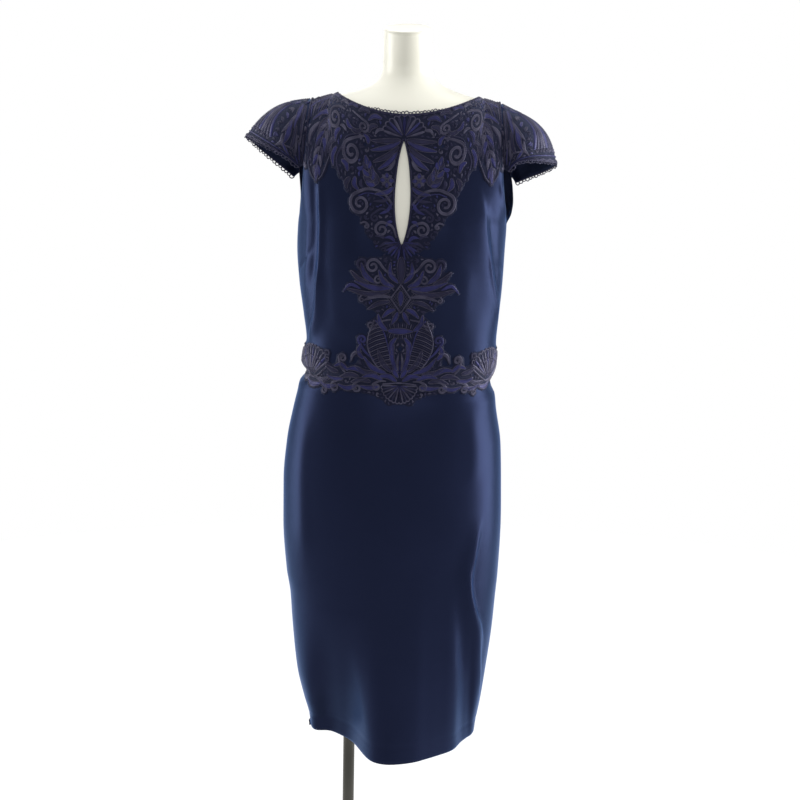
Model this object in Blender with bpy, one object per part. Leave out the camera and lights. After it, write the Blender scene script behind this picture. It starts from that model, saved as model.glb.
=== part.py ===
"""Cap-sleeve sheath dress on a dress form: a front bodice with a keyhole, two back bodice panels,
cap sleeves, a three-panel skirt and lace walls, on a smooth torso with one pole and a round base.

Tables are in millimetres. The front of the dress faces -Y, +X is the viewer's right, the base stands on
z = 0. A level is the height of a cross-section at the centre line; s runs from -1 (left edge) to +1."""

import math

import bpy
import numpy as np

FRONT, BACK = -1, 1
MIDDLE_X = 3.0          # centre-front line of the cloth
FRAME_SHIFT = (5.8, 0.0, 0.0)   # brings the middle of the whole outline over the origin

CLOTH = 1.5             # wall of the fabric
LACE = 1.2              # wall of the lace
SEAM = 0.15             # each panel stops this far from the seam line
CUT_SNAP = 0.8          # an outline this close to a corner of a facet goes through the corner
LACE_LIFT = 0.5         # lace above the fabric under it
SLEEVE_LACE_LIFT = 1.0  # the same on the tighter curves of the sleeves

WAIST, UNDERARM, NOTCH, TOP = 950.0, 1203.0, 1268.0, 1368.5   # levels
HEM = 360.0
NECK_S = 0.52           # |s| of the high shoulder point
FRONT_HALF_WIDTH, BACK_HALF_WIDTH = 160.0, 150.0    # of the panels near the keyhole and the centre back
FLAT_EDGE = 8           # power that keeps darts and folds off the side edges
ARM_ROUND = 2.2         # roundness of a section beside the armhole


def table(names, rows):
    return {name: np.array(column, float) for name, column in zip(names.split(), zip(*rows))}


# One row for each section. left and right are half widths from x = 0, edge is the y of the panel's side edge,
# rise is how much higher the edge lies than the centre, depth is the y of the centre line, round is the
# superellipse power and wrap is 1 where the section turns fully round the side.
FRONT_ROWS = table("level left right edge rise depth round wrap", [
    (355, 138, 132, 0, 3, -141, 1.65, 1),
    (385, 142, 136.5, 0, 3, -138, 1.7, 1),
    (420, 151, 142.5, 0, 3, -134, 1.8, 1),
    (470, 162, 149, 0, 3, -129, 1.95, 1),
    (550, 170, 158, 0, 2, -123, 2.1, 1),
    (600, 173.5, 161.5, 0, 2, -121.5, 2.2, 1),
    (640, 180, 164.5, 0, 2, -121, 2.2, 1),
    (720, 185.5, 167, 0, 3, -120, 2.25, 1),
    (785, 185.5, 165.5, 0, 4, -118, 2.25, 1),
    (850, 180, 162.5, 0, 6, -114, 2.3, 1),
    (905, 169, 153.5, 0, 8, -109, 2.3, 1),
    (925, 164, 151, 0, 9, -106, 2.3, 1),
    (940, 160.5, 144, 0, 10, -103, 2.3, 1),
    (950, 153.5, 142.5, 0, 10, -101, 2.3, 1),
    (962, 148, 147.5, 0, 10, -103, 2.3, 1),
    (974, 156.5, 150.5, 0, 10, -103, 2.3, 1),
    (990, 154.5, 151.5, 0, 10, -102, 2.3, 1),
    (1010, 150, 150.5, 0, 9, -101, 2.3, 1),
    (1050, 154.5, 153.3, 0, 8, -104, 2.3, 1),
    (1110, 162, 157.5, 0, 3, -109, 2.3, 1),
    (1165, 165.5, 159.5, 0, 0, -111, 2.3, 1),
    (1203, 164, 161, 0, 0, -112, 2.3, 1),
    (1216, 159, 159, -30, 6, -112, 2.3, 0.8),
    (1232, 155, 156, -49, 14, -111, 2.3, 0.62),
    (1250, 152.5, 153.5, -58, 20, -109.5, 2.3, 0.52),
    (1268, 151, 152, -60, 22, -107.5, 2.3, 0.5),
])
BACK_ROWS = table("level left right edge rise depth round wrap", [
    (355, 138, 132, 0, 3, 97, 2.2, 1),
    (385, 142, 136.5, 0, 3, 98, 2.2, 1),
    (420, 151, 142.5, 0, 3, 100, 2.2, 1),
    (470, 162, 149, 0, 3, 103, 2.2, 1),
    (550, 170, 158, 0, 2, 109, 2.25, 1),
    (600, 173.5, 161.5, 0, 2, 113, 2.25, 1),
    (640, 180, 164.5, 0, 2, 117, 2.3, 1),
    (720, 185.5, 167, 0, 3, 124, 2.3, 1),
    (785, 185.5, 165.5, 0, 4, 126, 2.3, 1),
    (850, 180, 162.5, 0, 6, 120, 2.3, 1),
    (905, 169, 153.5, 0, 8, 106, 2.3, 1),
    (925, 164, 151, 0, 9, 99, 2.3, 1),
    (940, 160.5, 144, 0, 10, 92, 2.3, 1),
    (950, 153.5, 142.5, 0, 10, 88, 2.3, 1),
    (962, 148, 147.5, 0, 10, 87, 2.3, 1),
    (974, 156.5, 150.5, 0, 10, 86, 2.3, 1),
    (990, 154.5, 151.5, 0, 10, 85, 2.3, 1),
    (1010, 150, 150.5, 0, 9, 84, 2.3, 1),
    (1050, 154.5, 153.3, 0, 8, 87, 2.3, 1),
    (1110, 162, 157.5, 0, 3, 94, 2.3, 1),
    (1165, 165.5, 159.5, 0, 0, 100, 2.3, 1),
    (1203, 164, 161, 0, 0, 103, 2.3, 1),
    (1216, 166.5, 169, 28, 2, 104, 2.3, 0.8),
    (1232, 167.5, 172, 50, 5, 105, 2.3, 0.62),
    (1250, 170, 171, 63, 6, 105.5, 2.3, 0.52),
    (1268, 172, 168.5, 67, 6, 105, 2.3, 0.5),
])

# The shoulder seam runs from the high shoulder point (neck) to the shoulder tip.
SHOULDER = {"neck_left": (-105.5, 10, 1399.5), "neck_right": (112.5, 10, 1396.5),
            "tip_left": (-143.5, 5, 1390), "tip_right": (143.5, 5, 1389)}
NECKLINE = {FRONT: (-90.0, 1368.5, 1.9), BACK: (74.0, 1386.0, 2.0)}   # y, z at the centre, power of the rise
CHEST_LEAN = (0.47, 0.88)    # inwards and up: how the cloth meets the neckline at the centre
RIDGE_SHARE = 0.5       # how far the cloth follows the shoulder ridge near the neck
FULLNESS = 1.05         # how round the cloth is between the armhole notch and the shoulder
BUST = {"apart": 82, "level": 1160, "lift": 15, "wide": 42, "above": 62, "below": 52}
KEYHOLE = {"bottom": 1177, "top": 1329, "half": 12.0, "skew": 0.92, "round": 0.85}

# Soft folds of the lower skirt front: x, the levels it fades between, half width and depth (in is +).
SKIRT_FOLDS = table("x top bottom wide depth", [
    (-86, 600, 352, 42, 66),
    (118, 640, 380, 12, 15),
    (68, 700, 520, 20, 3),
])

# Sleeve edges: along is 0 at the front notch, 0.5 at the shoulder tip and 1 at the back notch.
SLEEVE_LEFT = table("along x y z", [
    (0, -158, -56, 1288), (0.12, -175, -61, 1302), (0.25, -199, -52, 1314), (0.38, -224, -33, 1324),
    (0.5, -246.5, -2, 1332), (0.62, -240, 28, 1321), (0.75, -219, 52, 1301), (0.88, -198, 66, 1283),
    (1, -179, 62, 1268),
])
SLEEVE_RIGHT = table("along x y z", [
    (0, 159, -57, 1288), (0.12, 173, -62, 1302), (0.25, 192, -55, 1305), (0.38, 214, -37, 1303),
    (0.5, 234.5, -2, 1299), (0.62, 225, 28, 1289), (0.75, 204, 52, 1279), (0.88, 187, 66, 1271),
    (1, 174.5, 62, 1266),
])
SLEEVE_GAP = 0.75       # between the sleeve and the armhole it is set into
CROWN_POWER = 1.1       # how fast the crown fades towards the two ends of the sleeve
SLEEVE_TURN = 18        # distance over which its wall turns out of the bodice
SLEEVE_CROWN = {-1: (16, 1.0), 1: (20.5, 1.2)}   # height of the crown and how far out it sits

# Outlines of the lace on the front: how low or high it reaches at each distance from the centre line.
YOKE_EDGE = table("out level", [
    (0, 1165.4), (30, 1166), (44, 1186), (60, 1214), (76, 1242), (90, 1266), (104, 1284), (116, 1284),
    (128, 1270), (140, 1268), (170, 1268),
])
YOKE_SIDE = table("level out", [(1165, 200), (1200, 160), (1225, 148), (1268, 145), (1330, 141), (1368.5, 136)])
COLUMN_EDGE = table("level out", [
    (979.3, 80), (1000, 76), (1020, 66), (1042, 58), (1060, 46), (1078, 66), (1096, 92), (1116, 94),
    (1136, 78), (1150, 52), (1164.8, 40),
])
WAIST_TOP = table("out level", [
    (0, 978.7), (84, 978.7), (100, 978), (112, 980), (126, 990), (138, 1003), (170, 1006),
])
WAIST_BOTTOM = table("out level", [
    (0, 920), (14, 922), (26, 933), (40, 936), (70, 938), (110, 943), (135, 946), (170, 948),
])

# The form under the cloth: its clearance from the inside of the cloth at each level.
FORM_GAP = table("level gap", [
    (625, 12), (720, 6), (785, 4), (905, 6), (1000, 6), (1110, 4), (1165, 1.2), (1203, 1.5), (1268, 1.0),
    (1330, 0.9), (1368.5, 0.85),
])
FORM_LOW_LEVELS = (640, 680, 730, 785, 840, 900)
BOTTOM_TURN = table("scale drop", [(0.985, 3), (0.93, 9), (0.86, 13)])   # how the bottom edge rounds in
ARM_PLATE = {"columns": 7, "swell": 0.08, "most": 7, "settle": 0.21}     # the smooth plates at the armholes
NECK_BASE = {"x": 1.2, "y": 13, "z": 1443, "wide": 37.8, "deep": 46}
NECK_TOP = {"x": 0.8, "y": 8, "z": 1499.5, "wide": 36.8, "deep": 45, "tilt": 9}
NECK_REACH, NECK_ROWS = 1.15, 8      # fullness and rows of the slope from the neckline up to the neck
NECK_STEPS = (0.45, 0.93)
NECK_RIM = {"inset": 0.015, "drop": 1.5}

POLE = {"x": -75, "y": 5, "radius": 9.5}
COLLAR = {"radius": 17, "height": 24, "edge": 2}
HUB = {"radius": 21, "height": 34, "shoulder": 8, "slope": 6}
BASE = {"x": -FRAME_SHIFT[0], "radius": 172, "thick": 12, "edge": 3}
ROUND_SIDES, BASE_SIDES = 32, 72
FIT = 0.3               # space left between parts that touch


def hermite(start, leave, end, arrive, t):
    """The cubic from start to end with the given velocities at its two ends."""
    return (start * (1 + 2 * t) * (1 - t) ** 2 + leave * t * (1 - t) ** 2
            + end * t * t * (3 - 2 * t) + arrive * t * t * (t - 1))


def slopes(x, y):
    """End-safe monotone slopes, so a table read between its rows never overshoots."""
    step = np.diff(y) / np.diff(x)
    inner = np.where(step[:-1] * step[1:] > 0,
                     2 * step[:-1] * step[1:] / np.where(step[:-1] + step[1:] == 0, 1, step[:-1] + step[1:]), 0)
    return np.concatenate([step[:1], inner, step[-1:]])


def read(rows, column, at):
    """The column's value at a place along the table's first column, on a smooth curve through its rows."""
    keys = rows[next(iter(rows))]
    values = rows[column]
    slope = slopes(keys, values)
    at = np.clip(np.asarray(at, float), keys[0], keys[-1])
    i = np.clip(np.searchsorted(keys, at, side="right") - 1, 0, len(keys) - 2)
    wide = keys[i + 1] - keys[i]
    t = (at - keys[i]) / wide
    return hermite(values[i], slope[i] * wide, values[i + 1], slope[i + 1] * wide, t)


def ease(t):
    t = np.clip(t, 0, 1)
    return t * t * (3 - 2 * t)


def unit(v):
    return v / np.maximum(np.linalg.norm(v, axis=-1, keepdims=True), 1e-12)


def section(side, s, level):
    """A point of the cloth's outside below the armhole notches."""
    rows = FRONT_ROWS if side == FRONT else BACK_ROWS
    value = {name: read(rows, name, level) for name in list(rows)[1:]}
    middle = (value["right"] - value["left"]) / 2
    half = (value["right"] + value["left"]) / 2
    u = np.sin(s * math.pi / 2)
    u = u + (MIDDLE_X - middle) / half * (1 - u * u)
    full = np.maximum(1 - np.abs(u) ** value["round"], 0) ** (1 / value["round"])
    part = 1 - np.abs(u) ** ARM_ROUND
    y = value["edge"] + side * SEAM + (value["depth"] - value["edge"]) * (
        value["wrap"] * full + (1 - value["wrap"]) * part)
    x = middle + half * u
    z = level + value["rise"] * np.abs(s) ** 1.5
    if side == FRONT:
        spread = np.where(level > BUST["level"], BUST["above"], BUST["below"])
        height = np.exp(-((level - BUST["level"]) / spread) ** 2 / 2)
        for centre in (MIDDLE_X - BUST["apart"], MIDDLE_X + BUST["apart"]):
            y = y - BUST["lift"] * height * np.exp(-((x - centre) / BUST["wide"]) ** 2 / 2) * (1 - s ** FLAT_EDGE)
        for x0, top, bottom, wide, depth in zip(*SKIRT_FOLDS.values()):
            fade = ease((top - level) / (top - bottom))
            y = y + depth * fade * np.exp(-np.abs((x - x0) / wide) ** 3) * (1 - s ** FLAT_EDGE)
    return np.stack(np.broadcast_arrays(x, y, z), -1)


def edge_of_top(side, s):
    """The neckline between the high shoulder points, and the shoulder seams beyond them."""
    y0, z0, power = NECKLINE[side]
    right = (np.asarray(s) >= 0)[..., None]
    neck = np.where(right, SHOULDER["neck_right"], SHOULDER["neck_left"])
    tip = np.where(right, SHOULDER["tip_right"], SHOULDER["tip_left"])
    turn = np.clip(np.abs(s) / NECK_S, 0, 1) * math.pi / 2
    swing = np.sin(turn)
    line = np.stack([MIDDLE_X + (neck[..., 0] - MIDDLE_X) * swing,
                     neck[..., 1] + (y0 - neck[..., 1]) * np.cos(turn) ** 0.9,
                     z0 + (neck[..., 2] - z0) * swing ** power], -1)
    out = np.clip((np.abs(s) - NECK_S) / (1 - NECK_S), 0, 1)[..., None]
    point = np.where(out > 0, neck + (tip - neck) * out, line)
    point[..., 1] += side * SEAM
    return point


def surface(side, s, level):
    """A point of the cloth's outside at any level up to the neckline and the shoulder seam."""
    s, level = np.broadcast_arrays(np.asarray(s, float), np.asarray(level, float))
    low = section(side, s, np.minimum(level, NOTCH))
    start = section(side, s, np.full(s.shape, NOTCH))
    climb = unit(start - section(side, s, np.full(s.shape, NOTCH - 3)))
    end = edge_of_top(side, s)
    reach = np.linalg.norm(end - start, axis=-1, keepdims=True)
    # At the centre the cloth leans back towards the neck; along the shoulder it runs level over the ridge.
    near = (np.clip(np.abs(s) / NECK_S, 0, 1) ** 1.5)[..., None]
    out = np.clip((np.abs(s) - NECK_S) / (1 - NECK_S), 0, 1)[..., None]
    right = (s >= 0)[..., None]
    ridge = np.where(right, np.subtract(SHOULDER["neck_right"], SHOULDER["tip_right"]),
                     np.subtract(SHOULDER["neck_left"], SHOULDER["tip_left"]))
    over = unit(unit(ridge * (1, 0, 1)) * RIDGE_SHARE * (1 - out) + np.array([0, -side, 0]))
    arrive = unit(np.array([0, -side * CHEST_LEAN[0], CHEST_LEAN[1]]) * (1 - near) + over * near)
    t = np.clip((level - NOTCH) / (TOP - NOTCH), 0, 1)[..., None]
    bow = hermite(start, climb * reach * FULLNESS, end, arrive * reach * FULLNESS, t)
    return np.where(level[..., None] > NOTCH, bow, low)


def normal(side, s, level):
    """The outward direction of the cloth there."""
    s, level = np.broadcast_arrays(np.asarray(s, float), np.asarray(level, float))
    across = surface(side, np.minimum(s + 1e-3, 1), level) - surface(side, np.maximum(s - 1e-3, -1), level)
    up = surface(side, s, np.minimum(level + 0.5, TOP)) - surface(side, s, level - 0.5)
    return unit(np.cross(across, up)) * -side


def keyhole_half(level):
    t = np.clip((level - KEYHOLE["bottom"]) / (KEYHOLE["top"] - KEYHOLE["bottom"]), 0, 1)
    lens = np.maximum(np.sin(math.pi * t ** KEYHOLE["skew"]), 0) ** KEYHOLE["round"]
    return KEYHOLE["half"] * lens * ((t > 0) & (t < 1))


def opened(sigma, level):
    """s of a column whose centre line parts round the keyhole; the sign of sigma is its side."""
    part = keyhole_half(level) / (FRONT_HALF_WIDTH * math.pi / 2)
    return np.sign(sigma) * (part + (1 - part) * np.abs(sigma))


# ---- solids ----

def material(name, colour, roughness, metallic=0.0):
    made = bpy.data.materials.new(name)
    made.use_nodes = True
    shader = made.node_tree.nodes["Principled BSDF"]
    shader.inputs["Base Color"].default_value = (*colour, 1)
    shader.inputs["Roughness"].default_value = roughness
    shader.inputs["Metallic"].default_value = metallic
    made.diffuse_color = (*colour, 1)
    return made


MATERIALS = {
    "navy_crepe": ((0.012, 0.020, 0.062), 0.45),
    "embroidered_lace": ((0.016, 0.017, 0.045), 0.6),
    "form_shell": ((0.78, 0.77, 0.70), 0.3),
    "brushed_steel": ((0.30, 0.30, 0.29), 0.35, 1.0),
    "base_paint": ((0.62, 0.62, 0.60), 0.4),
}


def solid(name, points, faces, slot):
    """One closed object from points in millimetres."""
    mesh = bpy.data.meshes.new(name)
    shifted = (np.asarray(points, float) + FRAME_SHIFT) / 1000
    mesh.from_pydata(shifted.tolist(), [], [list(map(int, face)) for face in faces])
    mesh.update()
    made = bpy.data.objects.new(name, mesh)
    bpy.context.scene.collection.objects.link(made)
    mesh.materials.append(materials[slot])
    return made


def sewn(patches):
    """Grids of (outside points, outward directions) made into one sheet of triangles, welded at shared edges."""
    index, points, outs, faces = {}, [], [], []
    for grid, out in patches:
        rows, columns = grid.shape[:2]
        ids = np.empty((rows, columns), int)
        for i in range(rows):
            for j in range(columns):
                key = tuple(np.round(grid[i, j], 3) + 0.0)
                if key not in index:
                    index[key] = len(points)
                    points.append(grid[i, j])
                    outs.append(out[i, j])
                ids[i, j] = index[key]
        for i in range(rows - 1):
            for j in range(columns - 1):
                a, b, c, d = ids[i, j], ids[i, j + 1], ids[i + 1, j + 1], ids[i + 1, j]
                faces += [face for face in ((a, b, c), (a, c, d)) if len(set(face)) == 3]
    return np.array(points), np.array(outs), faces


def wall(name, sheet, thick, slot, lift=0.0):
    """A cloth wall: from the sheet inwards by its thickness, or outwards by it from a lifted sheet."""
    points, outs, faces = sheet
    count = len(points)
    ends = {pair for a, b, c in faces for pair in ((a, b), (b, c), (c, a))}
    rims = [face for a, b in sorted(ends) if (b, a) not in ends
            for face in ((b, a, a + count), (b, a + count, b + count))]
    inside = [(c + count, b + count, a + count) for a, b, c in faces]
    outer = points + outs * (lift + thick if lift else 0)
    inner = points + outs * (lift if lift else -thick)
    return solid(name, np.concatenate([outer, inner]), faces + inside + rims, slot)


# Rows shared by the bodice panels, the lace on them and the form under them, closer over the shoulder.
BODICE_LEVELS = np.array([WAIST + SEAM, 962, 975, 990, 1012, 1045, 1078, 1110, 1142, KEYHOLE["bottom"],
                          UNDERARM, 1214, 1230, 1248, NOTCH, 1288, 1308, KEYHOLE["top"], 1350, TOP])
SKIRT_LEVELS = np.array([HEM, 378, 400, 432, 475, 530, 600, 670, 740, 810, 870, 905, 925, 940, WAIST - SEAM])
SHOULDER_COLUMNS = (NECK_S, 0.61, 0.72, 0.82, 0.92, 1)
FRONT_HALF = np.array([0, 0.08, 0.16, 0.25, 0.34, 0.43, *SHOULDER_COLUMNS])
BACK_HALF = np.array([0, 0.14, 0.28, 0.4, *SHOULDER_COLUMNS])
NICK = SEAM / (BACK_HALF_WIDTH * math.pi / 2)       # s of a centre-back edge


def front_half(sign, levels):
    """Half of the front bodice, its centre line parted round the keyhole, with columns in order of x."""
    sigma, level = np.meshgrid(FRONT_HALF, levels)
    s = opened(sign * np.maximum(sigma, 1e-9), level)
    s[(sigma == 0) & (keyhole_half(level) == 0)] = 0
    order = slice(None, None, sign)
    return surface(FRONT, s, level)[:, order], normal(FRONT, s, level)[:, order]


def whole_front(levels):
    columns = np.concatenate([-FRONT_HALF[:0:-1], FRONT_HALF])
    s, level = np.meshgrid(columns, levels)
    return surface(FRONT, s, level), normal(FRONT, s, level)


def back_half(sign, levels):
    columns = np.sort(sign * np.concatenate([[NICK], BACK_HALF[1:]]))
    s, level = np.meshgrid(columns[::-1], levels)
    return surface(BACK, s, level), normal(BACK, s, level)


def build_panels():
    wall("bodice_front", sewn([front_half(sign, BODICE_LEVELS) for sign in (-1, 1)]), CLOTH, "navy_crepe")
    wall("skirt_front", sewn([whole_front(SKIRT_LEVELS)]), CLOTH, "navy_crepe")
    for name, sign in (("left", -1), ("right", 1)):
        wall("bodice_back_" + name, sewn([back_half(sign, BODICE_LEVELS)]), CLOTH, "navy_crepe")
        wall("skirt_back_" + name, sewn([back_half(sign, SKIRT_LEVELS)]), CLOTH, "navy_crepe")


def sleeve_patch(sign, out):
    """The cap sleeve from the armhole seam (out 0) to its edge (out 1), one column for each armhole row."""
    edge = SLEEVE_RIGHT if sign > 0 else SLEEVE_LEFT
    climb = BODICE_LEVELS[BODICE_LEVELS >= NOTCH]
    front, back = (surface(side, float(sign), climb) for side in (FRONT, BACK))
    front_out, back_out = (normal(side, float(sign), climb) for side in (FRONT, BACK))
    seam = np.concatenate([front[:-1], (front[-1:] + back[-1:]) / 2, back[-2::-1]])
    face = unit(np.concatenate([front_out[:-1], front_out[-1:] + back_out[-1:], back_out[-2::-1]]))
    seam = seam + unit(np.cross(np.gradient(seam, axis=0), face)) * sign * SLEEVE_GAP
    a = (climb - NOTCH) / (TOP - NOTCH) / 2
    a = np.concatenate([a, 1 - a[-2::-1]])
    hem = np.stack([read(edge, name, a) for name in "xyz"], -1)
    b = out[:, None, None]
    crown = unit(np.cross(hem - seam, np.gradient(seam, axis=0))) * sign
    height, skew = SLEEVE_CROWN[sign]
    rise = height * np.sin(math.pi * b ** skew) * np.maximum(np.sin(math.pi * a), 0)[:, None] ** CROWN_POWER
    grid = seam + (hem - seam) * b + crown * rise
    direction = unit(np.cross(np.gradient(grid, axis=1), np.gradient(grid, axis=0))) * -sign
    # Close to the armhole the sleeve's wall lines up with the wall of the panel it is sewn to.
    away = ease(np.linalg.norm(grid - seam, axis=-1, keepdims=True) / SLEEVE_TURN)
    direction = unit(direction * away + face * (1 - away))
    return (grid, direction) if sign < 0 else (grid[:, ::-1], direction[:, ::-1])


def build_sleeves():
    for name, sign in (("left", -1), ("right", 1)):
        grid, out = sleeve_patch(sign, np.linspace(0, 1, 7))
        wall("sleeve_" + name, sewn([(grid, out)]), CLOTH, "navy_crepe")
        wall("lace_sleeve_" + name, sewn([(grid[1:], out[1:])]), LACE, "embroidered_lace", SLEEVE_LACE_LIFT)


def clipped(sheet, place, inside):
    """The part of a sheet where inside(place) is positive, cut straight across each facet it crosses."""
    points, outs, faces = (list(part) for part in sheet)
    place = [np.asarray(p) for p in place]
    values = [float(inside(p)) for p in place]
    values = [0.0 if abs(value) < CUT_SNAP else value for value in values]
    cuts, kept = {}, []

    def cut(a, b):
        key = (min(a, b), max(a, b))
        if key not in cuts:
            t = values[a] / (values[a] - values[b])
            cuts[key] = len(points)
            points.append(points[a] + (points[b] - points[a]) * t)
            outs.append(unit(outs[a] + (outs[b] - outs[a]) * t))
            place.append(place[a] + (place[b] - place[a]) * t)
            values.append(0.0)
        return cuts[key]

    for face in faces:
        ring = []
        for a, b in zip(face, face[1:] + face[:1]):
            if values[a] >= 0:
                ring.append(a)
            if values[a] * values[b] < 0:
                ring.append(cut(a, b))
        kept += [(ring[0], b, c) for b, c in zip(ring[1:], ring[2:])]
    used = sorted({v for face in kept for v in face})
    new = {v: i for i, v in enumerate(used)}
    sheet = (np.array([points[v] for v in used]), np.array([outs[v] for v in used]),
             [tuple(new[v] for v in face) for face in kept])
    return sheet, [place[v] for v in used]


def front_sheet(patches, levels, limits):
    """A sheet of front panels cut to its limits, each a function of (distance from the middle, level)."""
    sheet = sewn(patches)
    lookup = {}
    for grid, _ in patches:
        for i, level in enumerate(levels):
            for point in grid[i]:
                lookup[tuple(np.round(point, 3) + 0.0)] = (abs(point[0] - MIDDLE_X), level)
    place = [lookup[tuple(np.round(point, 3) + 0.0)] for point in sheet[0]]
    for limit in limits:
        sheet, place = clipped(sheet, place, limit)
    return sheet


def build_lace():
    bodice = [front_half(sign, BODICE_LEVELS) for sign in (-1, 1)]
    band = [whole_front(np.concatenate([SKIRT_LEVELS, BODICE_LEVELS]))]
    all_levels = np.concatenate([SKIRT_LEVELS, BODICE_LEVELS])
    pieces = {
        "lace_yoke": (bodice, BODICE_LEVELS, [
            lambda p: p[1] - read(YOKE_EDGE, "level", p[0]), lambda p: read(YOKE_SIDE, "out", p[1]) - p[0]]),
        "lace_column": (bodice, BODICE_LEVELS, [
            lambda p: p[1] - COLUMN_EDGE["level"][0], lambda p: COLUMN_EDGE["level"][-1] - p[1],
            lambda p: read(COLUMN_EDGE, "out", p[1]) - p[0]]),
        "lace_waist": (band, all_levels, [
            lambda p: p[1] - read(WAIST_BOTTOM, "level", p[0]), lambda p: read(WAIST_TOP, "level", p[0]) - p[1]]),
    }
    for name, (patches, levels, limits) in pieces.items():
        wall(name, front_sheet(patches, levels, limits), LACE, "embroidered_lace", LACE_LIFT)


# ---- the form, its pole and base ----

def form_point(side, s, level):
    gap = read(FORM_GAP, "gap", level)[..., None]
    return surface(side, s, level) - normal(side, s, level) * (CLOTH + gap)


def loop(centre, turn):
    return np.stack([centre["x"] + centre["wide"] * np.sin(turn), centre["y"] - centre["deep"] * np.cos(turn),
                     centre["z"] + 0 * turn - centre.get("tilt", 0) * np.cos(turn)], -1)


def arm_plate(first, second, outward):
    """Rows of a smooth plate across an armhole, from its front edge to its back edge."""
    across = np.linspace(0, 1, ARM_PLATE["columns"])[None, :, None]
    plate = first[:, None] * (1 - across) + second[:, None] * across
    width = np.linalg.norm(second - first, axis=-1)[:, None]
    arch = np.sin(math.pi * across[..., 0])
    step = np.abs(second[:, None, 0] - first[:, None, 0])
    plate[..., 0] += outward * arch * (np.minimum(width * ARM_PLATE["swell"], ARM_PLATE["most"])
                                       - step * ARM_PLATE["settle"])
    return plate


def neck_rows(front_top, front_s, back_top, back_s):
    """The slope from the neckline to the neck, the neck and its rim, all as closed loops of points."""
    ring = np.concatenate([front_top, back_top[1:]])
    turn = np.concatenate([front_s, 2 * NECK_S - back_s[1:]]) / NECK_S * math.pi / 2
    along = np.roll(ring[:-1], -1, axis=0) - np.roll(ring[:-1], 1, axis=0)
    along = unit(np.concatenate([along, along[:1]]))
    sides = np.concatenate([normal(FRONT, front_s, TOP), normal(BACK, back_s, TOP)[1:]])
    inward = unit(np.cross(sides, along))
    inward[-1] = inward[0]
    base, top = loop(NECK_BASE, turn), loop(NECK_TOP, turn)
    reach = np.linalg.norm(base - ring, axis=-1, keepdims=True) * NECK_REACH
    up = np.array([0.0, 0.0, 1.0])
    slope = [hermite(ring, inward * reach, base, up * reach, t) for t in np.linspace(0, 1, NECK_ROWS)]
    neck = [base * (1 - t) + top * t for t in NECK_STEPS]
    rim = top + (top.mean(axis=0) - top) * NECK_RIM["inset"]
    return np.array(slope + neck + [top - up * NECK_RIM["drop"], rim])


def build_form():
    front_columns, back_columns = (np.concatenate([-half[:0:-1], half]) for half in (FRONT_HALF, BACK_HALF))
    split = int(np.searchsorted(BODICE_LEVELS, UNDERARM))
    low = np.concatenate([FORM_LOW_LEVELS, BODICE_LEVELS[:split + 1]])
    high = BODICE_LEVELS[split:]
    front_low, front_high, back_low, back_high = (
        form_point(side, *np.meshgrid(columns, levels))
        for side, columns in ((FRONT, front_columns), (BACK, back_columns)) for levels in (low, high))
    # The two halves share their side line up to the underarm and their ridge along each shoulder.
    for first, second in ((front_low, back_low), (front_high[:1], back_high[:1])):
        for end in (0, -1):
            first[:, end] = second[:, end] = (first[:, end] + second[:, end]) / 2
    for sign in (-1, 1):
        edge_s = sign * np.array([NECK_S, 1.0])
        neck_end, tip_end = (form_point(FRONT, edge_s, TOP) + form_point(BACK, edge_s, TOP)) / 2
        for columns, grid in ((front_columns, front_high), (back_columns, back_high)):
            for j in np.flatnonzero(sign * columns >= NECK_S):
                grid[-1, j] = neck_end + (tip_end - neck_end) * (abs(columns[j]) - NECK_S) / (1 - NECK_S)
    at_front, at_back = (np.flatnonzero(np.abs(c) <= NECK_S) for c in (front_columns, back_columns))
    neck = neck_rows(front_high[-1, at_front], front_columns[at_front],
                     back_high[-1, at_back][::-1], back_columns[at_back][::-1])
    plates = [arm_plate(front_high[:, 0], back_high[:, 0], -1)[:, ::-1],
              arm_plate(front_high[:, -1], back_high[:, -1], 1)]
    sheets = [front_low, front_high, back_low[:, ::-1], back_high[:, ::-1], *plates, neck]
    points, _, faces = sewn([(sheet, sheet) for sheet in sheets])
    index = {tuple(np.round(p, 3) + 0.0): i for i, p in enumerate(points)}
    faces.append([index[tuple(np.round(p, 3) + 0.0)] for p in neck[-1][:-1]])
    # The bottom edge rounds in to a flat face.
    bottom = np.concatenate([front_low[0], back_low[0][::-1][1:]])[:-1]
    ids = [index[tuple(np.round(p, 3) + 0.0)] for p in bottom]
    middle = bottom.mean(axis=0)
    points = points.tolist()
    for scale, drop in zip(*BOTTOM_TURN.values()):
        ring = middle + (bottom - middle) * scale
        last = scale == BOTTOM_TURN["scale"][-1]
        ring[:, 2] = form_bottom() if last else bottom[:, 2] - drop
        new = list(range(len(points), len(points) + len(ring)))
        points += ring.tolist()
        faces += [[ids[n], ids[n - 1], new[n - 1], new[n]] for n in range(len(ids))]
        ids = new
    faces.append(ids[::-1])
    return solid("form_torso", points, faces, "form_shell")


def form_bottom():
    """The height of the form's flat bottom face."""
    return FORM_LOW_LEVELS[0] - BOTTOM_TURN["drop"][-1]


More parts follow.
